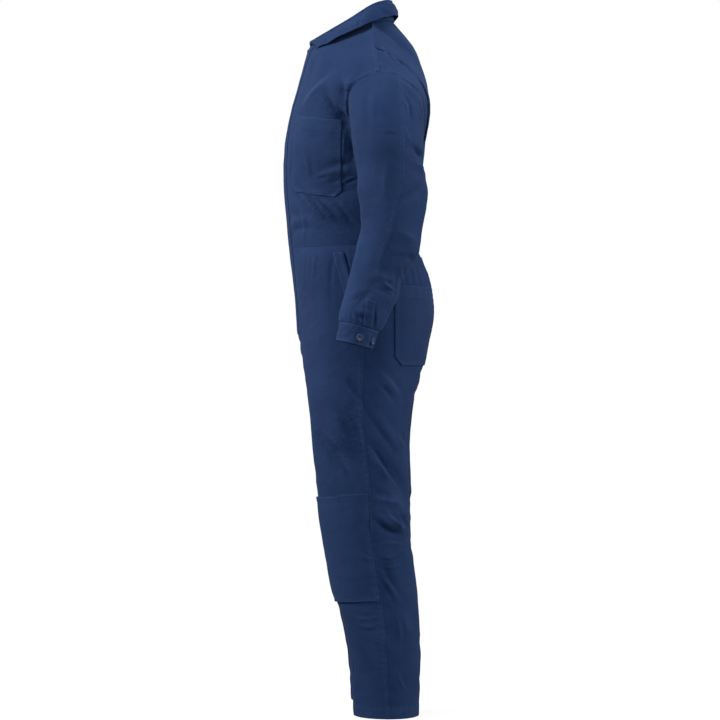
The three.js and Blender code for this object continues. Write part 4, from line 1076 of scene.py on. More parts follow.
# %% Twill
WALE = 0.0011  # from one diagonal rib to the next
STITCH_ROWS = (0.0018, 0.0080, 0.5018, 1.0220)
STITCH = 0.0034
NAVY_DEEP = (0.0088, 0.0265, 0.0870, 1)
NAVY = (0.0138, 0.0370, 0.1150, 1)
# The paler navy stands for worn cloth and for painted light.
NAVY_WORN_AND_LIT = (0.0255, 0.0560, 0.1540, 1)
THREAD = (0.0260, 0.0580, 0.1560, 1)


def twill_material():
    paint = Paint("navy_twill")
    across, along, _ = paint.split(paint.node("ShaderNodeUVMap", {"uv_map": "Cloth"}))
    rib = paint.maths("SINE", (across + along * 1.4) * (2 * math.pi / (WALE * 1.72)))
    cross = paint.maths("SINE", (across * 1.4 - along) * (2 * math.pi / (WALE * 2.6)))
    weave = rib * 0.5 + cross * rib * 0.25

    place = paint.node("ShaderNodeTexCoord", output=3)
    slub = paint.node("ShaderNodeTexNoise", {"noise_dimensions": "3D"},
                      {"Vector": place, "Scale": 240.0, "Detail": 3.0})
    cloud = paint.node("ShaderNodeTexNoise", {"noise_dimensions": "3D"},
                       {"Vector": place, "Scale": 13.0, "Detail": 4.0, "Roughness": 0.6})
    rumple = paint.node("ShaderNodeTexNoise", {"noise_dimensions": "3D"},
                        {"Vector": place, "Scale": 46.0, "Detail": 3.0, "Distortion": 0.8})
    creased = paint.node("ShaderNodeAttribute", {"attribute_name": "creased"}, output=2)
    lines = 0.0
    for scale, strength in ((24.0, 1.0), (58.0, 0.5)):
        field = paint.node("ShaderNodeTexNoise", {"noise_dimensions": "3D"},
                           {"Vector": place, "Scale": scale, "Detail": 2.0, "Distortion": 1.2})
        near = paint.maths("ABSOLUTE", field - 0.5)
        crest = paint.maths("SUBTRACT", 1.0, near * 6.0, clamp=True)
        lines = lines + crest * crest * strength
    wear = paint.node("ShaderNodeAttribute", {"attribute_name": "wear"}, output=2)

    thread, groove = 0.0, 0.0
    for layer in ("SideStitch", "EndStitch"):
        length, row_at, _ = paint.split(paint.node("ShaderNodeUVMap", {"uv_map": layer}))
        beat = paint.maths("SINE", length * (2 * math.pi / STITCH)) + 0.55
        dash = paint.maths("MULTIPLY", beat, 2.2, clamp=True)
        for row in STITCH_ROWS:
            off = paint.maths("ABSOLUTE", row_at - row)
            line = paint.maths("SUBTRACT", 1.35, off / 0.00042, clamp=True)
            dip = paint.maths("SUBTRACT", 1.0, off / 0.0019, clamp=True)
            thread = thread + line * dash
            groove = groove + dip
    thread = paint.maths("MINIMUM", thread, 1.0)
    # Cloth colour between deep and pale navy, by the per-point value that holds wear and painted light
    # and shade, and by a random cloud of tone.
    paleness = paint.maths("MULTIPLY", (wear - 0.5) * 1.5 + (cloud - 0.5) * 0.9 + 0.42, 1.0, clamp=True)
    cloth = paint.blend(paleness, NAVY_DEEP, NAVY_WORN_AND_LIT)
    cloth = paint.blend(paint.maths("MULTIPLY", slub - 0.35, 0.8, clamp=True), cloth, NAVY)
    paint.link(paint.blend(thread, cloth, THREAD), paint.shader.inputs["Base Color"])
    paint.link(0.86 - thread * 0.2 + (slub - 0.5) * 0.12, paint.shader.inputs["Roughness"])
    height = weave * 0.05 + slub * 0.1 + rumple * 0.8 + thread * 0.3 - groove * 0.4
    height = height + lines * (creased * 0.6 + 0.1)
    bump = paint.node("ShaderNodeBump", {}, {"Height": height, "Distance": MM, "Strength": 1.0})
    paint.link(bump, paint.shader.inputs["Normal"])
    paint.shader.inputs["Sheen Weight"].default_value = 0.08
    paint.shader.inputs["Sheen Roughness"].default_value = 0.45
    paint.shader.inputs["Sheen Tint"].default_value = (0.45, 0.55, 0.85, 1)
    paint.shader.inputs["Specular IOR Level"].default_value = 0.12
    return paint.material


TWILL = twill_material()
print("twill nodes:", len(TWILL.node_tree.nodes))

# %% [markdown]
# ## From points to cloth
# `bmesh.ops.create_grid` makes the flat sheet, its vertices then move to the panel's points, and a
# Solidify modifier gives it its thickness on the inside. The grid keeps the cloth's length and
# width, so its UV maps are the flat pattern piece itself.

# %% Cloth pieces
WALL = 1.2
cuts = {}


def grid_mesh(name, points, outward, layers, marks):
    """A mesh of the grid of points, with a UV map per layer and a value per vertex for each mark."""
    rows, columns = points.shape[:2]
    bm = bmesh.new()
    bmesh.ops.create_grid(bm, x_segments=columns - 1, y_segments=rows - 1, size=1)
    if outward < 0:
        bmesh.ops.reverse_faces(bm, faces=bm.faces[:])
    mesh = bpy.data.meshes.new(name)
    bm.to_mesh(mesh)
    bm.free()
    flat = np.empty(len(mesh.vertices) * 3, np.float32)
    mesh.vertices.foreach_get("co", flat)
    spots = (flat.reshape(-1, 3) + 1) / 2
    j = np.rint(spots[:, 0] * (columns - 1)).astype(int)
    i = np.rint(spots[:, 1] * (rows - 1)).astype(int)
    mesh.vertices.foreach_set("co", (points[i, j] * MM).astype(np.float32).ravel())
    corners = np.empty(len(mesh.loops), np.int32)
    mesh.loops.foreach_get("vertex_index", corners)
    for layer, values in layers.items():
        uv = mesh.uv_layers.new(name=layer)
        uv.data.foreach_set("uv", values[i, j][corners].astype(np.float32).ravel())
    for mark, values in marks.items():
        on_points = mesh.attributes.new(mark, "FLOAT", "POINT")
        on_points.data.foreach_set("value", values[i, j].astype(np.float32))
    mesh.shade_smooth()
    mesh.update()
    return mesh


def cloth_piece(name, node, points, outward, rows, wear, flat_points,
                wall=WALL, creased=None):
    """A sheet of cloth that stands for a CAD node."""
    along_u, along_v = run_lengths(flat_points, 1), run_lengths(flat_points, 0)
    middle = along_u[:, along_u.shape[1] // 2][:, None]
    layers = {"Cloth": np.stack([along_u - middle, along_v], -1) * MM, **rows}
    creased = np.full(wear.shape, 0.15) if creased is None else creased
    mesh = grid_mesh(name, points, outward, layers, {"wear": wear, "creased": creased})
    piece = bpy.data.objects.new(name, mesh)
    bpy.context.scene.collection.objects.link(piece)
    mesh.materials.append(TWILL)
    thick = piece.modifiers.new("wall", "SOLIDIFY")
    thick.thickness, thick.offset = wall * MM, -1
    across = np.linalg.norm(np.diff(flat_points, axis=1), axis=-1)
    down = np.linalg.norm(np.diff(flat_points, axis=0), axis=-1)
    area = float((((across[1:] + across[:-1]) / 2) * ((down[:, 1:] + down[:, :-1]) / 2)).sum())
    width, length = float(along_u.max()), float(along_v.max())
    area = min(area, width * length)
    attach(piece, "root")
    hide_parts(node)
    cuts[name] = (round(width), round(length), round(area * 1e-6, 4))
    return piece


for panel in panels.values():
    kind, _, word = panel.name.rpartition("_")
    kind = kind if word in ("left", "right") else panel.name
    cloth_piece("cloth_" + panel.name, panel.name, panel.grid, panel.outward, panel.rows,
                panel.wear, panel.flat, creased=panel.creased)
print("panels dressed:", len(cuts))

# %% [markdown]
# ## Pieces sewn on the panels
# Pockets, knee patches, the hip pocket's edge and the sleeve vent lie on a panel, so each is made
# from the panel's own points, moved out along its normals. A pocket is placed by level and by
# length of cloth, as a maker measures it on the table. It could be projected with a Shrinkwrap
# modifier, but then its straight sides would wander over the folds.

# %% Finding a place on a panel


def between(values, i, j):
    """Reads a grid of values at fractional rows i and columns j."""
    i0 = np.clip(i.astype(int), 0, values.shape[0] - 2)
    j0 = np.clip(j.astype(int), 0, values.shape[1] - 2)
    s, t = i - i0, j - j0
    if values.ndim == 3:
        s, t = s[..., None], t[..., None]
    top = mix(values[i0, j0], values[i0, j0 + 1], t)
    return mix(top, mix(values[i0 + 1, j0], values[i0 + 1, j0 + 1], t), s)


def on_panel(panel, u, v, grid="grid"):
    i = np.interp(v, panel.vs, np.arange(len(panel.vs)))
    j = np.interp(u, panel.us, np.arange(len(panel.us)))
    points = between(getattr(panel, grid), i, j)
    return points, unit(between(panel.normals, i, j))


def share_at_level(panel, u, z):
    """The v at which the panel passes level z, for each pair of u and z."""
    j = np.interp(u.ravel(), panel.us, np.arange(len(panel.us)))
    rows = np.arange(len(panel.vs), dtype=float)[:, None] + np.zeros_like(j)
    heights = between(panel.flat[..., 2], rows, np.broadcast_to(j, rows.shape))
    way = 1 if heights[-1, 0] > heights[0, 0] else -1
    found = [np.interp(way * level, way * heights[:, k], panel.vs)
             for k, level in enumerate(z.ravel())]
    return np.array(found).reshape(u.shape)


def pocket_place(panel, z, inward, edge_y):
    """Shares u, v of the points that lie `inward` millimetres of cloth from where y is edge_y."""
    levels = np.linspace(z.min(), z.max(), 30)
    us = np.linspace(0.1, 0.98, 70)
    grid_u, grid_z = np.meshgrid(us, levels)
    grid_v = share_at_level(panel, grid_u, grid_z)
    spots = on_panel(panel, grid_u, grid_v, "flat")[0]
    lengths = run_lengths(spots, 1)
    way = 1 if spots[0, -1, 1] > spots[0, 0, 1] else -1
    steps = np.linspace(0, inward.max(), 40)
    table_u = np.array([np.interp(np.interp(way * edge_y, way * line[:, 1], length) - steps, length, us)
                        for line, length in zip(spots, lengths)])
    table_v = np.array([np.interp(line, us, vs) for line, vs in zip(table_u, grid_v)])
    i = (z - levels[0]) / (levels[-1] - levels[0]) * (len(levels) - 1)
    j = inward / steps[-1] * (len(steps) - 1)
    return between(table_u, i, j), between(table_v, i, j)


def edge_spaced(low, high, cell=3.6):
    """Values a cell apart, closer beside both ends."""
    way = 1 if high > low else -1
    total = abs(high - low)
    return low + way * spread(np.array([0, total]), np.array([0, total]), cell)


def sew_on(name, node, base, facing, styles, lift=0.0, crown=0.5, gap=0.5, wall=WALL,
           puckers=0.6, edge_paling=0.25):
    """A piece sewn on the cloth at the points `base`."""
    sewn, rows = sew_edges(base, styles, puckers)
    away = np.minimum.reduce([d for d, _ in edge_distances(base).values()])
    out = gap + wall + sewn * 0.6 + crown * ease(6, 26, away) + lift
    out += 0.35 * unevenness(base, 26.0, 5.5) * ease(0, 12, away)
    points = base + facing * out[..., None]
    outward = 1 if (grid_normals(points, 1) * facing).sum(-1).mean() > 0 else -1
    # Colour value: seam ridges rubbed paler, lifted cloth painted paler as a painted highlight, and the
    # edges paler, from rubbing on most pieces and as a painted highlight on the fly.
    wear = np.clip(0.5 + 0.12 * sewn + 0.04 * lift + edge_paling * ease(4, 0, away), 0, 1)
    return cloth_piece(name, node, points, outward, rows, wear, base, wall=wall)


# %% Patch pockets
CHEST_POCKET = SimpleNamespace(wide=145, tall=160, cut=16, top=-209, edge_y=-66, slope=-0.15)
BACK_POCKET = SimpleNamespace(wide=150, tall=168, cut=18, top=-554, edge_y=47, slope=0.0)


def patch_pocket(name, panel, size):
    across = edge_spaced(0, size.wide) / size.wide
    down = edge_spaced(0, size.tall)
    part, depth = np.meshgrid(across, down)
    cut = size.cut * np.clip((depth - size.tall + size.cut) / size.cut, 0, 1)
    inward = mix(cut, size.wide - cut, part)
    z = size.top - depth - size.slope * inward
    base, facing = on_panel(panel, *pocket_place(panel, z, inward, size.edge_y))
    mouth = np.sin(np.pi * part) * np.exp(-(depth / 20) ** 2)
    sewn_down = {"left": "double", "right": "double", "low": "hem", "high": "double"}
    return sew_on("cloth_" + name, name, base, facing, sewn_down,
                  lift=0.4 + 2.2 * mouth, crown=0.7)


for word in ("left", "right"):
    patch_pocket(f"chest_pocket_{word}", panels[f"bodice_front_{word}"], CHEST_POCKET)
    patch_pocket(f"back_pocket_{word}", panels[f"trouser_back_{word}"], BACK_POCKET)

# %% Knee patches
KNEE = SimpleNamespace(top=-1000, low=-1226, side_rise=10, stand_off=3.2)
for word in ("left", "right"):
    panel = panels[f"trouser_front_{word}"]
    across = 0.02 + 0.96 * edge_spaced(0, 205) / 205
    down = edge_spaced(0, 226) / 226
    u, share = np.meshgrid(across, down)
    z = mix(KNEE.top, KNEE.low, share) + KNEE.side_rise * u * u
    z -= 4.5 * ease(0.82, 0.76, u) * ease(0.3, 0, share)
    base, facing = on_panel(panel, u, share_at_level(panel, u, z))
    off = KNEE.stand_off * np.sin(np.pi * u) * (0.25 + 0.75 * share ** 2)
    tuck = -3.2 * np.exp(-((u - 0.79 - 0.27 * share) * 205 / 3.6) ** 2) * ease(0.26, 0.05, share)
    top_edge = 1.2 * np.exp(-(share * 226 / 10) ** 2) * np.sin(np.pi * u)
    sew_on(f"cloth_knee_patch_{word}", f"knee_patch_{word}", base, facing,
           {"left": "double", "right": "double", "low": "double", "high": "single"},
           lift=off + tuck + top_edge, crown=0.8)

# %% Hip pocket edges and sleeve vents
HIP_TOP, HIP_LOW = -484, -640
for word in ("left", "right"):
    panel = panels[f"trouser_front_{word}"]
    share = edge_spaced(0, 160)[:, None] / 160
    across = np.linspace(0, 1, 11)[None]
    edge = mix(0.775, 0.985, share ** 1.15)
    u = edge - 0.085 * (1 - across)
    z = mix(HIP_TOP, HIP_LOW, share) + 0 * u
    base, facing = on_panel(panel, u, share_at_level(panel, u, z))
    open_edge = 3.4 * np.sin(np.pi * share) ** 0.8 * across ** 2
    sew_on(f"cloth_hip_pocket_edge_{word}", f"hip_pocket_edge_{word}", base, facing,
           {"right": "double", "left": "single"}, lift=open_edge, crown=0)

VENT_TALL, VENT_WIDE = 52, 20
ring_steps = np.linspace(0, LAST_RING, 400)
for word in ("left", "right"):
    panel = panels[f"sleeve_top_{word}"]
    top_span = 360 - INNER_SEAM + SLEEVE["seam"][-1]
    u_wide = math.degrees(VENT_WIDE / 47) / top_span
    middle = run_lengths(sleeve_ring(ring_steps).centre[:, None], 0)[:, 0]
    up = np.interp(middle[-1] - 1 - edge_spaced(VENT_TALL, 0), middle, ring_steps)
    t, u = np.meshgrid(up, np.linspace(1 - u_wide, 0.995, 9), indexing="ij")
    base, facing = on_panel(panel, u, t)
    sew_on(f"cloth_sleeve_vent_{word}", f"sleeve_vent_{word}", base, facing,
           {"left": "single", "right": "single", "low": "single"},
           crown=0, lift=0.5)

# %% [markdown]
# ## The hidden fly
# One long strip covers the closure from the neck to the fork. Its place is found by looking at the
# fronts along Y, and smoothing what is met, because the strip is stiffer than what it covers.

# %% Fly
FLY_LEFT, FLY_RIGHT, FLY_TOP, FLY_LOW = 45, -15, -37, -655
FRONTS = [f"{part}_{word}" for part in ("bodice_front", "trouser_front") for word in ("left", "right")]
front_tree = tree_of(FRONTS)
xs, zs = np.meshgrid(edge_spaced(FLY_RIGHT, FLY_LEFT, 3.0), edge_spaced(FLY_TOP, FLY_LOW, 4.5))
ys = np.full(xs.shape, np.nan)
for i, j in np.ndindex(xs.shape):
    hit = front_tree.ray_cast(Vector((xs[i, j], -600, zs[i, j])), Vector((0, 1, 0)))[0]
    if hit is not None and hit.y < -90:
        ys[i, j] = hit.y
for line, x in zip(ys, xs):
    met = ~np.isnan(line)
    line[:] = np.interp(x, x[met], line[met])
met_at = ys
for _ in range(6):
    wide = np.pad(ys, 1, mode="edge")
    ys = np.minimum(ys, (wide[:-2, 1:-1] + wide[2:, 1:-1] + wide[1:-1, :-2] + wide[1:-1, 2:]) / 4)
ys = mix(ys, met_at, ease(34, 44, xs))
base = np.stack([xs, ys, zs], -1)
facing = grid_normals(base, 1)
facing *= np.sign(-facing[..., 1:2])
ripple = 0.5 * np.sin(zs / 21 + 2.2 * unevenness(base, 90.0, 4.0)) * ease(10, -15, xs)
# The fly's edges are painted paler than other edges: a painted highlight along the placket's folded edge.
sew_on("cloth_front_fly", "front_fly", base, facing, {"left": "single", "right": "double",
       "low": "single", "high": "double"}, wall=1.4, gap=0.4, crown=0.3, edge_paling=0.6,
       lift=ripple + 0.4 - 1.2 * ease(39, 45, xs) - 1.2 * ease(-10, -15, xs)
       - 1.3 * ease(-630, FLY_LOW, zs))
print("pieces sewn on:", len(cuts) - len(panels))

# %% [markdown]
# ## Collar
# One piece of doubled cloth stands up from the neckline, rolls over and falls to its leaf edge.
# The leaf rests on the shoulders and fronts, whose level is found by looking down at them.

# %% Collar
COLLAR_WALL = 2.3
body_tree = tree_of(REGIONS["body"])


def level_under(x, y):
    hit = body_tree.ray_cast(Vector((x, y, 300)), Vector((0, 0, -1)))[0]
    return -1000.0 if hit is None else hit.z


def collar_points(signed, r):
    s = np.abs(signed)
    foot = on_curve(NECKLINE, "s", mix(1, 0.05, s))
    foot[..., 2] += 1.3
    roll, edge = (np.stack([smooth(COLLAR["s"], COLLAR[line + axis], s) for axis in "XYZ"], -1)
                  for line in ("roll", "edge"))
    out = (edge - roll) * np.array([1, 1, 0])
    out = unit(out)
    curl = 4.2
    up = np.array([0, 0, 1.0])
    stand = foot + (roll - out * curl - foot) * (r / 0.34)[..., None]
    angle = (np.pi * np.clip((r - 0.34) / 0.26, 0, 1))[..., None]
    fold = roll - out * curl * np.cos(angle) + up * curl * np.sin(angle)
    share = np.clip((r - 0.6) / 0.4, 0, 1)[..., None]
    bow = 3 * np.sin(np.pi * share)
    leaf = roll + out * curl + (edge - roll - out * curl) * share + (up + out) * bow
    p = np.where((r <= 0.34)[..., None], stand, np.where((r < 0.6)[..., None], fold, leaf))
    p[..., 0] *= np.where(signed < 0, -1, 1)
    return p


signed, r = np.meshgrid(np.linspace(-1, 1, 171),
                        np.r_[np.linspace(0, 0.34, 12)[:-1], np.linspace(0.34, 0.6, 12),
                              np.linspace(0.6, 0.94, 13)[1:], 0.96, 0.98, 1])
points = collar_points(signed, r)
for i, j in np.argwhere(r > 0.5):
    x, y, z = points[i, j]
    points[i, j, 2] = max(z, level_under(x, y) + COLLAR_WALL + 4.4)
dent = sum(deep * np.exp(-((signed + lean * (r - 0.6) - at) / wide) ** 2) for at, wide, deep, lean in (
    (0.33, 0.02, 1, 0.1), (-0.36, 0.02, 0.9, 0.1), (0.47, 0.02, 0.7, -0.2), (0.62, 0.02, 0.6, 0.25),
    (0.78, 0.02, 0.7, -0.3), (-0.55, 0.02, 0.6, -0.2), (-0.74, 0.02, 0.7, 0.3), (0.12, 0.03, 0.5, 0.1)))
wave = 1.4 * np.sin(9.3 * signed + 0.7) * ease(0.6, 1, r) - 2.6 * dent * ease(0.5, 0.66, r)
wave += 1.6 * unevenness(points, np.array([18, 18, 9.0]), 7.5) * ease(0.52, 0.66, r)
facing = grid_normals(points, 1)
inner_top = facing[18, 85]
if inner_top[2] < 0:
    facing = -facing
collar_base = points
sewn, rows = sew_edges(points, {"high": "single", "left": "single", "right": "single"}, 0.5)
points = points + facing * (wave + 0.5 * sewn)[..., None]
points[..., 2] += 1.2 * ease(0.6, 1, r) * ease(0, -1.5, wave)
outward = 1 if (grid_normals(points, 1) * facing).sum(-1).mean() > 0 else -1
cloth_piece("cloth_collar", "collar", points, outward, rows,
            np.clip(0.36 + 0.3 * sewn + 0.2 * np.exp(-((r - 0.47) / 0.06) ** 2), 0, 1), collar_base,
            wall=COLLAR_WALL)

# %% [markdown]
# ## Elastic casing and cuffs
# An elastic band inside the casing draws the back of the waist into fine upright ruches. The cuffs
# are plain bands of doubled cloth, whose free end laps over and takes the button.

# %% Casing
GATHERS = 30
signed, share = np.meshgrid(np.linspace(-1, 1, 361), np.linspace(0, 1, 15))
u = np.clip(np.abs(signed), 1e-4, 1)
z = mix(CASING_TOP_Z - SEAM_GAP, CASING_LOW_Z + SEAM_GAP, share)
steps = np.linspace(0, 1, len(TROUSERS["z"]))
v = np.interp(-np.minimum(z, WAIST_Z), -TROUSERS["z"], steps)
p = trouser_surface(1, 1, u, v)
higher = np.maximum(z, WAIST_Z)
p[..., 0] += (smooth(TORSO["z"], TORSO["side"], higher) - 176) * u ** 2
p[..., 1] += (smooth(TORSO["z"], TORSO["seam"], higher) - 2) * u ** 4
bunch = np.cos(np.pi * GATHERS * signed + 0.9 * np.sin(17 * signed)
               + 0.5 * np.sin(5 * share + 40 * signed))
sharp = np.sign(bunch) * np.abs(bunch) ** 0.7 * (1 - u ** 8)
rows_of_elastic = 1 - 0.45 * sum(np.exp(-((share - at) / 0.06) ** 2) for at in (0.2, 0.5, 0.8))
puff = 1.5 * sharp * rows_of_elastic * np.sin(np.pi * (0.12 + 0.76 * share))
p[..., 1] += puff * np.cos(np.pi / 2 * u)
p[..., 0] = np.where(signed < 0, -1, 1) * (p[..., 0] + puff * np.sin(np.pi / 2 * u))
p[..., 0] = np.where(np.abs(signed) < 1e-6, 0, p[..., 0])
p[..., 2] = z
outward = 1 if grid_normals(p, 1)[7, 180, 1] > 0 else -1
_, rows = sew_edges(p, {"low": "single", "high": "single"}, 0)
# The ruches' crests are painted paler and their hollows painted darker: painted light and shade.
cloth_piece("cloth_back_waist_casing", "back_waist_casing", p, outward, rows,
            np.clip(0.5 + 0.2 * sharp, 0, 1), p, wall=2.2)

# %% Cuffs
CUFF_TALL, OVERLAP_EDGE, UNDERLAP, CUFF_LIFT = 40, 43, 40, 3.2
BUTTON_DOWN = 0.62 * CUFF_TALL
last_ring = sleeve_ring(np.array(LAST_RING))
ring_down = unit(np.cross(last_ring.across, last_ring.back))


def cuff_point(degrees, down, grow):
    share = down / CUFF_TALL
    ring = SimpleNamespace(across=last_ring.across, back=last_ring.back,
                           centre=last_ring.centre - ring_down * np.asarray(down)[..., None],
                           wide=last_ring.wide - 4 * share - 3, deep=last_ring.deep - 6 * share - 3)
    return ring_point(ring, degrees, grow)


def cuff_lift(degrees):
    return CUFF_LIFT * ease(-62, -12, degrees)


for side, word in ((1, "left"), (-1, "right")):
    low = OVERLAP_EDGE - 360 - UNDERLAP
    degrees, down = np.meshgrid(low + (OVERLAP_EDGE - low) * edge_spaced(0, 330, 3.4) / 330,
                                edge_spaced(0.6, CUFF_TALL, 3.4))
    p = cuff_point(degrees, down, cuff_lift(degrees)) * np.array([side, 1, 1])
    facing = grid_normals(p, 1)
    heart = last_ring.centre * np.array([side, 1, 1])
    outward = 1 if ((p - heart) * facing).sum(-1).mean() > 0 else -1
    facing *= outward
    sewn, rows = sew_edges(p, {"left": "single", "right": "single", "low": "single",
                               "high": "single"}, 0.5)
    dents = unevenness(p, 24.0, 1.5) + 2.0 * unevenness(p, np.array([9, 9, 7.0]), 4.5)
    dents *= np.sin(np.pi * down / CUFF_TALL)
    cloth_piece(f"cloth_cuff_{word}", f"cuff_{word}", p + facing * (0.5 * sewn + dents)[..., None],
                outward, rows, np.clip(0.5 + 0.4 * sewn, 0, 1), p, wall=2.2)
print("sheets:", len(cuts))

# %% [markdown]
# ## Buttons
# Each cuff has a four-hole work button of navy plastic, 15 mm across, with a rim round a dished
# face. A spun profile gives the body, small cutters take out the holes, and two bars of thread
# cross from hole to hole.

# %% Buttons
BUTTON_RADIUS, BUTTON_TALL = 7.5, 2.6


def button_material():
    paint = Paint("button_plastic")
    place = paint.node("ShaderNodeTexCoord", output=3)
    swirl = paint.node("ShaderNodeTexNoise", {"noise_dimensions": "3D"},
                       {"Vector": place, "Scale": 260.0, "Detail": 3.0, "Distortion": 1.5})
    paint.link(paint.blend(swirl, (0.018, 0.03, 0.08, 1), (0.045, 0.07, 0.16, 1)),
               paint.shader.inputs["Base Color"])
    paint.link(swirl * 0.15 + 0.32, paint.shader.inputs["Roughness"])
    bump = paint.node("ShaderNodeBump", {}, {"Height": swirl, "Distance": 0.0001, "Strength": 0.4})
    paint.link(bump, paint.shader.inputs["Normal"])
    return paint.material


def thread_material():
    paint = Paint("sewing_thread")
    place = paint.node("ShaderNodeTexCoord", output=3)
    twist = paint.node("ShaderNodeTexNoise", {"noise_dimensions": "3D"},
                       {"Vector": place, "Scale": 900.0, "Detail": 2.0})
    paint.link(paint.blend(twist, (0.03, 0.045, 0.10, 1), (0.08, 0.11, 0.20, 1)),
               paint.shader.inputs["Base Color"])
    bump = paint.node("ShaderNodeBump", {}, {"Height": twist, "Distance": 0.0002, "Strength": 0.6})
    paint.link(bump, paint.shader.inputs["Normal"])
    paint.shader.inputs["Roughness"].default_value = 0.8
    return paint.material


BUTTON, THREAD_FINISH = button_material(), thread_material()


def button_body():
    """A button that lies flat at the origin, facing +Z, in millimetres."""
    radius, tall = BUTTON_RADIUS, BUTTON_TALL
    profile = [(0.01, 0), (radius * 0.8, 0), (radius, tall * 0.4), (radius * 0.96, tall * 0.85),
               (radius * 0.86, tall), (radius - 2.0, tall - 0.15), (radius - 2.8, tall - 0.7),
               (0.01, tall - 0.9)]
    bm = bmesh.new()
    verts = [bm.verts.new((x, 0, z)) for x, z in profile]
    edges = [bm.edges.new(pair) for pair in zip(verts, verts[1:])]
    bmesh.ops.spin(bm, geom=verts + edges, cent=(0, 0, 0), axis=(0, 0, 1), angle=2 * math.pi,
                   steps=40, use_merge=True)
    bmesh.ops.remove_doubles(bm, verts=bm.verts, dist=0.02)
    bmesh.ops.recalc_face_normals(bm, faces=bm.faces)
    return bm


def button_piece(name, node, seat, out):
    bm = button_body()
    body = bpy.data.meshes.new(name)
    bm.to_mesh(body)
    bm.free()
    piece = bpy.data.objects.new(name, body)
    bpy.context.scene.collection.objects.link(piece)
    bm = bmesh.new()
    for x, y in ((1.5, 1.5), (-1.5, 1.5), (-1.5, -1.5), (1.5, -1.5)):
        made = bmesh.ops.create_cone(bm, cap_ends=True, segments=14, radius1=0.85, radius2=0.85, depth=8)
        bmesh.ops.translate(bm, verts=made["verts"], vec=(x, y, 1))
    cutter = bpy.data.objects.new("holes", bpy.data.meshes.new("holes"))
    bm.to_mesh(cutter.data)
    bm.free()
    bpy.context.scene.collection.objects.link(cutter)
    hole = piece.modifiers.new("holes", "BOOLEAN")
    hole.object, hole.operation, hole.solver = cutter, "DIFFERENCE", "EXACT"
    graph = bpy.context.evaluated_depsgraph_get()
    mesh = bpy.data.meshes.new_from_object(piece.evaluated_get(graph))
    piece.modifiers.clear()
    bpy.data.objects.remove(cutter)
    bm = bmesh.new()
    bm.from_mesh(mesh)
    shell = set(bm.faces)
    for x in (1.5, -1.5):
        made = bmesh.ops.create_cone(bm, cap_ends=True, segments=8, radius1=0.45, radius2=0.45, depth=3.4)
        bmesh.ops.rotate(bm, verts=made["verts"], cent=(0, 0, 0),
                         matrix=Matrix.Rotation(math.pi / 2, 3, "X"))
        for v in made["verts"]:
            v.co.z += 2.05 - 0.16 * v.co.y ** 2
        bmesh.ops.translate(bm, verts=made["verts"], vec=(x, 0, 0))
    for face in bm.faces:
        face.material_index = 0 if face in shell else 1
        face.smooth = True
    turn = Vector((0, 0, 1)).rotation_difference(Vector(out)).to_matrix()
    bmesh.ops.rotate(bm, verts=bm.verts, cent=(0, 0, 0), matrix=turn)
    bmesh.ops.translate(bm, verts=bm.verts, vec=Vector(seat))
    bmesh.ops.scale(bm, verts=bm.verts, vec=(MM, MM, MM))
    bm.to_mesh(body)
    bm.free()
    body.materials.append(BUTTON)
    body.materials.append(THREAD_FINISH)
    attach(piece, "root")
    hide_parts(node)
    return piece


for side, word in ((1, "left"), (-1, "right")):
    for kind, degrees, lift in (("cuff_button", 10, CUFF_LIFT), ("cuff_button_spare", 58, 0)):
        flip = np.array([side, 1, 1])
        seat = cuff_point(np.array(degrees), np.array(BUTTON_DOWN), lift) * flip
        beyond = cuff_point(np.array(degrees), np.array(BUTTON_DOWN), lift + 10) * flip
        out = unit(beyond - seat)
        button_piece(f"sewn_{kind}_{word}", f"{kind}_{word}", seat + out * 0.6, out)
print("buttons: 4, each", round(2 * BUTTON_RADIUS, 1), "mm across")
print("cuts in mm and square metres:", cuts)

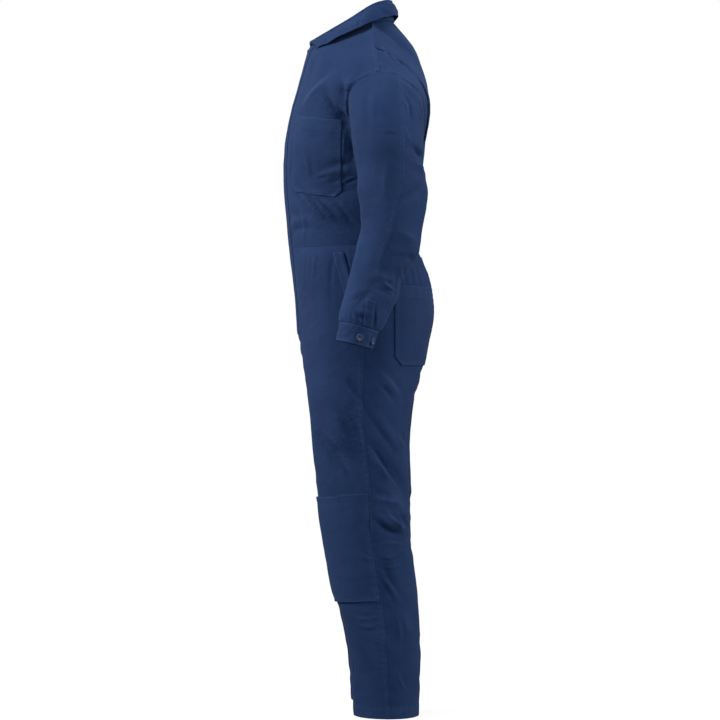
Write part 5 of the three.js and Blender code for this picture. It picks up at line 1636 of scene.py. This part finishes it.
# %% Camera, light and floor
scene = bpy.context.scene
camera = bpy.data.objects.new("camera", bpy.data.cameras.new("camera"))
camera.data.sensor_width, camera.data.lens = 36, 114.7
camera.location = (5.0, -0.0262, -0.7107)
camera.rotation_euler = (math.pi / 2, 0, math.pi / 2)
scene.collection.objects.link(camera)
scene.camera = camera
scene.view_settings.view_transform = "Standard"


def lamp(name, spot, target, size, watts, tint=(1, 1, 1)):
    data = bpy.data.lights.new(name, "AREA")
    data.shape, data.size, data.energy, data.color = "DISK", size, watts, tint
    made = bpy.data.objects.new(name, data)
    made.location = spot
    made.rotation_euler = (Vector(target) - Vector(spot)).to_track_quat("-Z", "Y").to_euler()
    scene.collection.objects.link(made)


lamp("key", (0.5, -3.5, 1.1), (0, 0, -0.3), 1.4, 112)
lamp("rim", (0.4, 3.4, 0.8), (0, 0, -0.45), 1.4, 60)
lamp("fill", (4.2, -1.4, 1.1), (0, 0, -0.4), 1.2, 22)
lamp("near", (3.4, 1.9, 0.7), (0, 0, -0.3), 1.2, 30)
lamp("top", (0.8, -0.3, 3.0), (0, 0, -0.5), 1.8, 60)

world = bpy.data.worlds.new("studio")
world.use_nodes = True
scene.world = world
tree = world.node_tree
light_path = tree.nodes.new("ShaderNodeLightPath")
level = tree.nodes.new("ShaderNodeMapRange")
level.inputs["To Min"].default_value, level.inputs["To Max"].default_value = 0.2, 1.0
tree.links.new(light_path.outputs["Is Camera Ray"], level.inputs["Value"])
tree.links.new(level.outputs[0], tree.nodes["Background"].inputs["Strength"])
tree.nodes["Background"].inputs["Color"].default_value = (1, 1, 1, 1)

bm = bmesh.new()
bmesh.ops.create_grid(bm, x_segments=2, y_segments=2, size=1.6)
bmesh.ops.translate(bm, verts=bm.verts, vec=(0, 0, -1.5))
mesh = bpy.data.meshes.new("floor")
bm.to_mesh(mesh)
floor = bpy.data.objects.new("floor", mesh)
scene.collection.objects.link(floor)
plain = Paint("floor_paint")
plain.link(plain.node("ShaderNodeLightPath") * 0.85, plain.shader.inputs["Emission Color"])
plain.shader.inputs["Emission Strength"].default_value = 1.0
plain.shader.inputs["Base Color"].default_value = (0.25, 0.25, 0.25, 1)
plain.shader.inputs["Roughness"].default_value = 0.9
mesh.materials.append(plain.material)
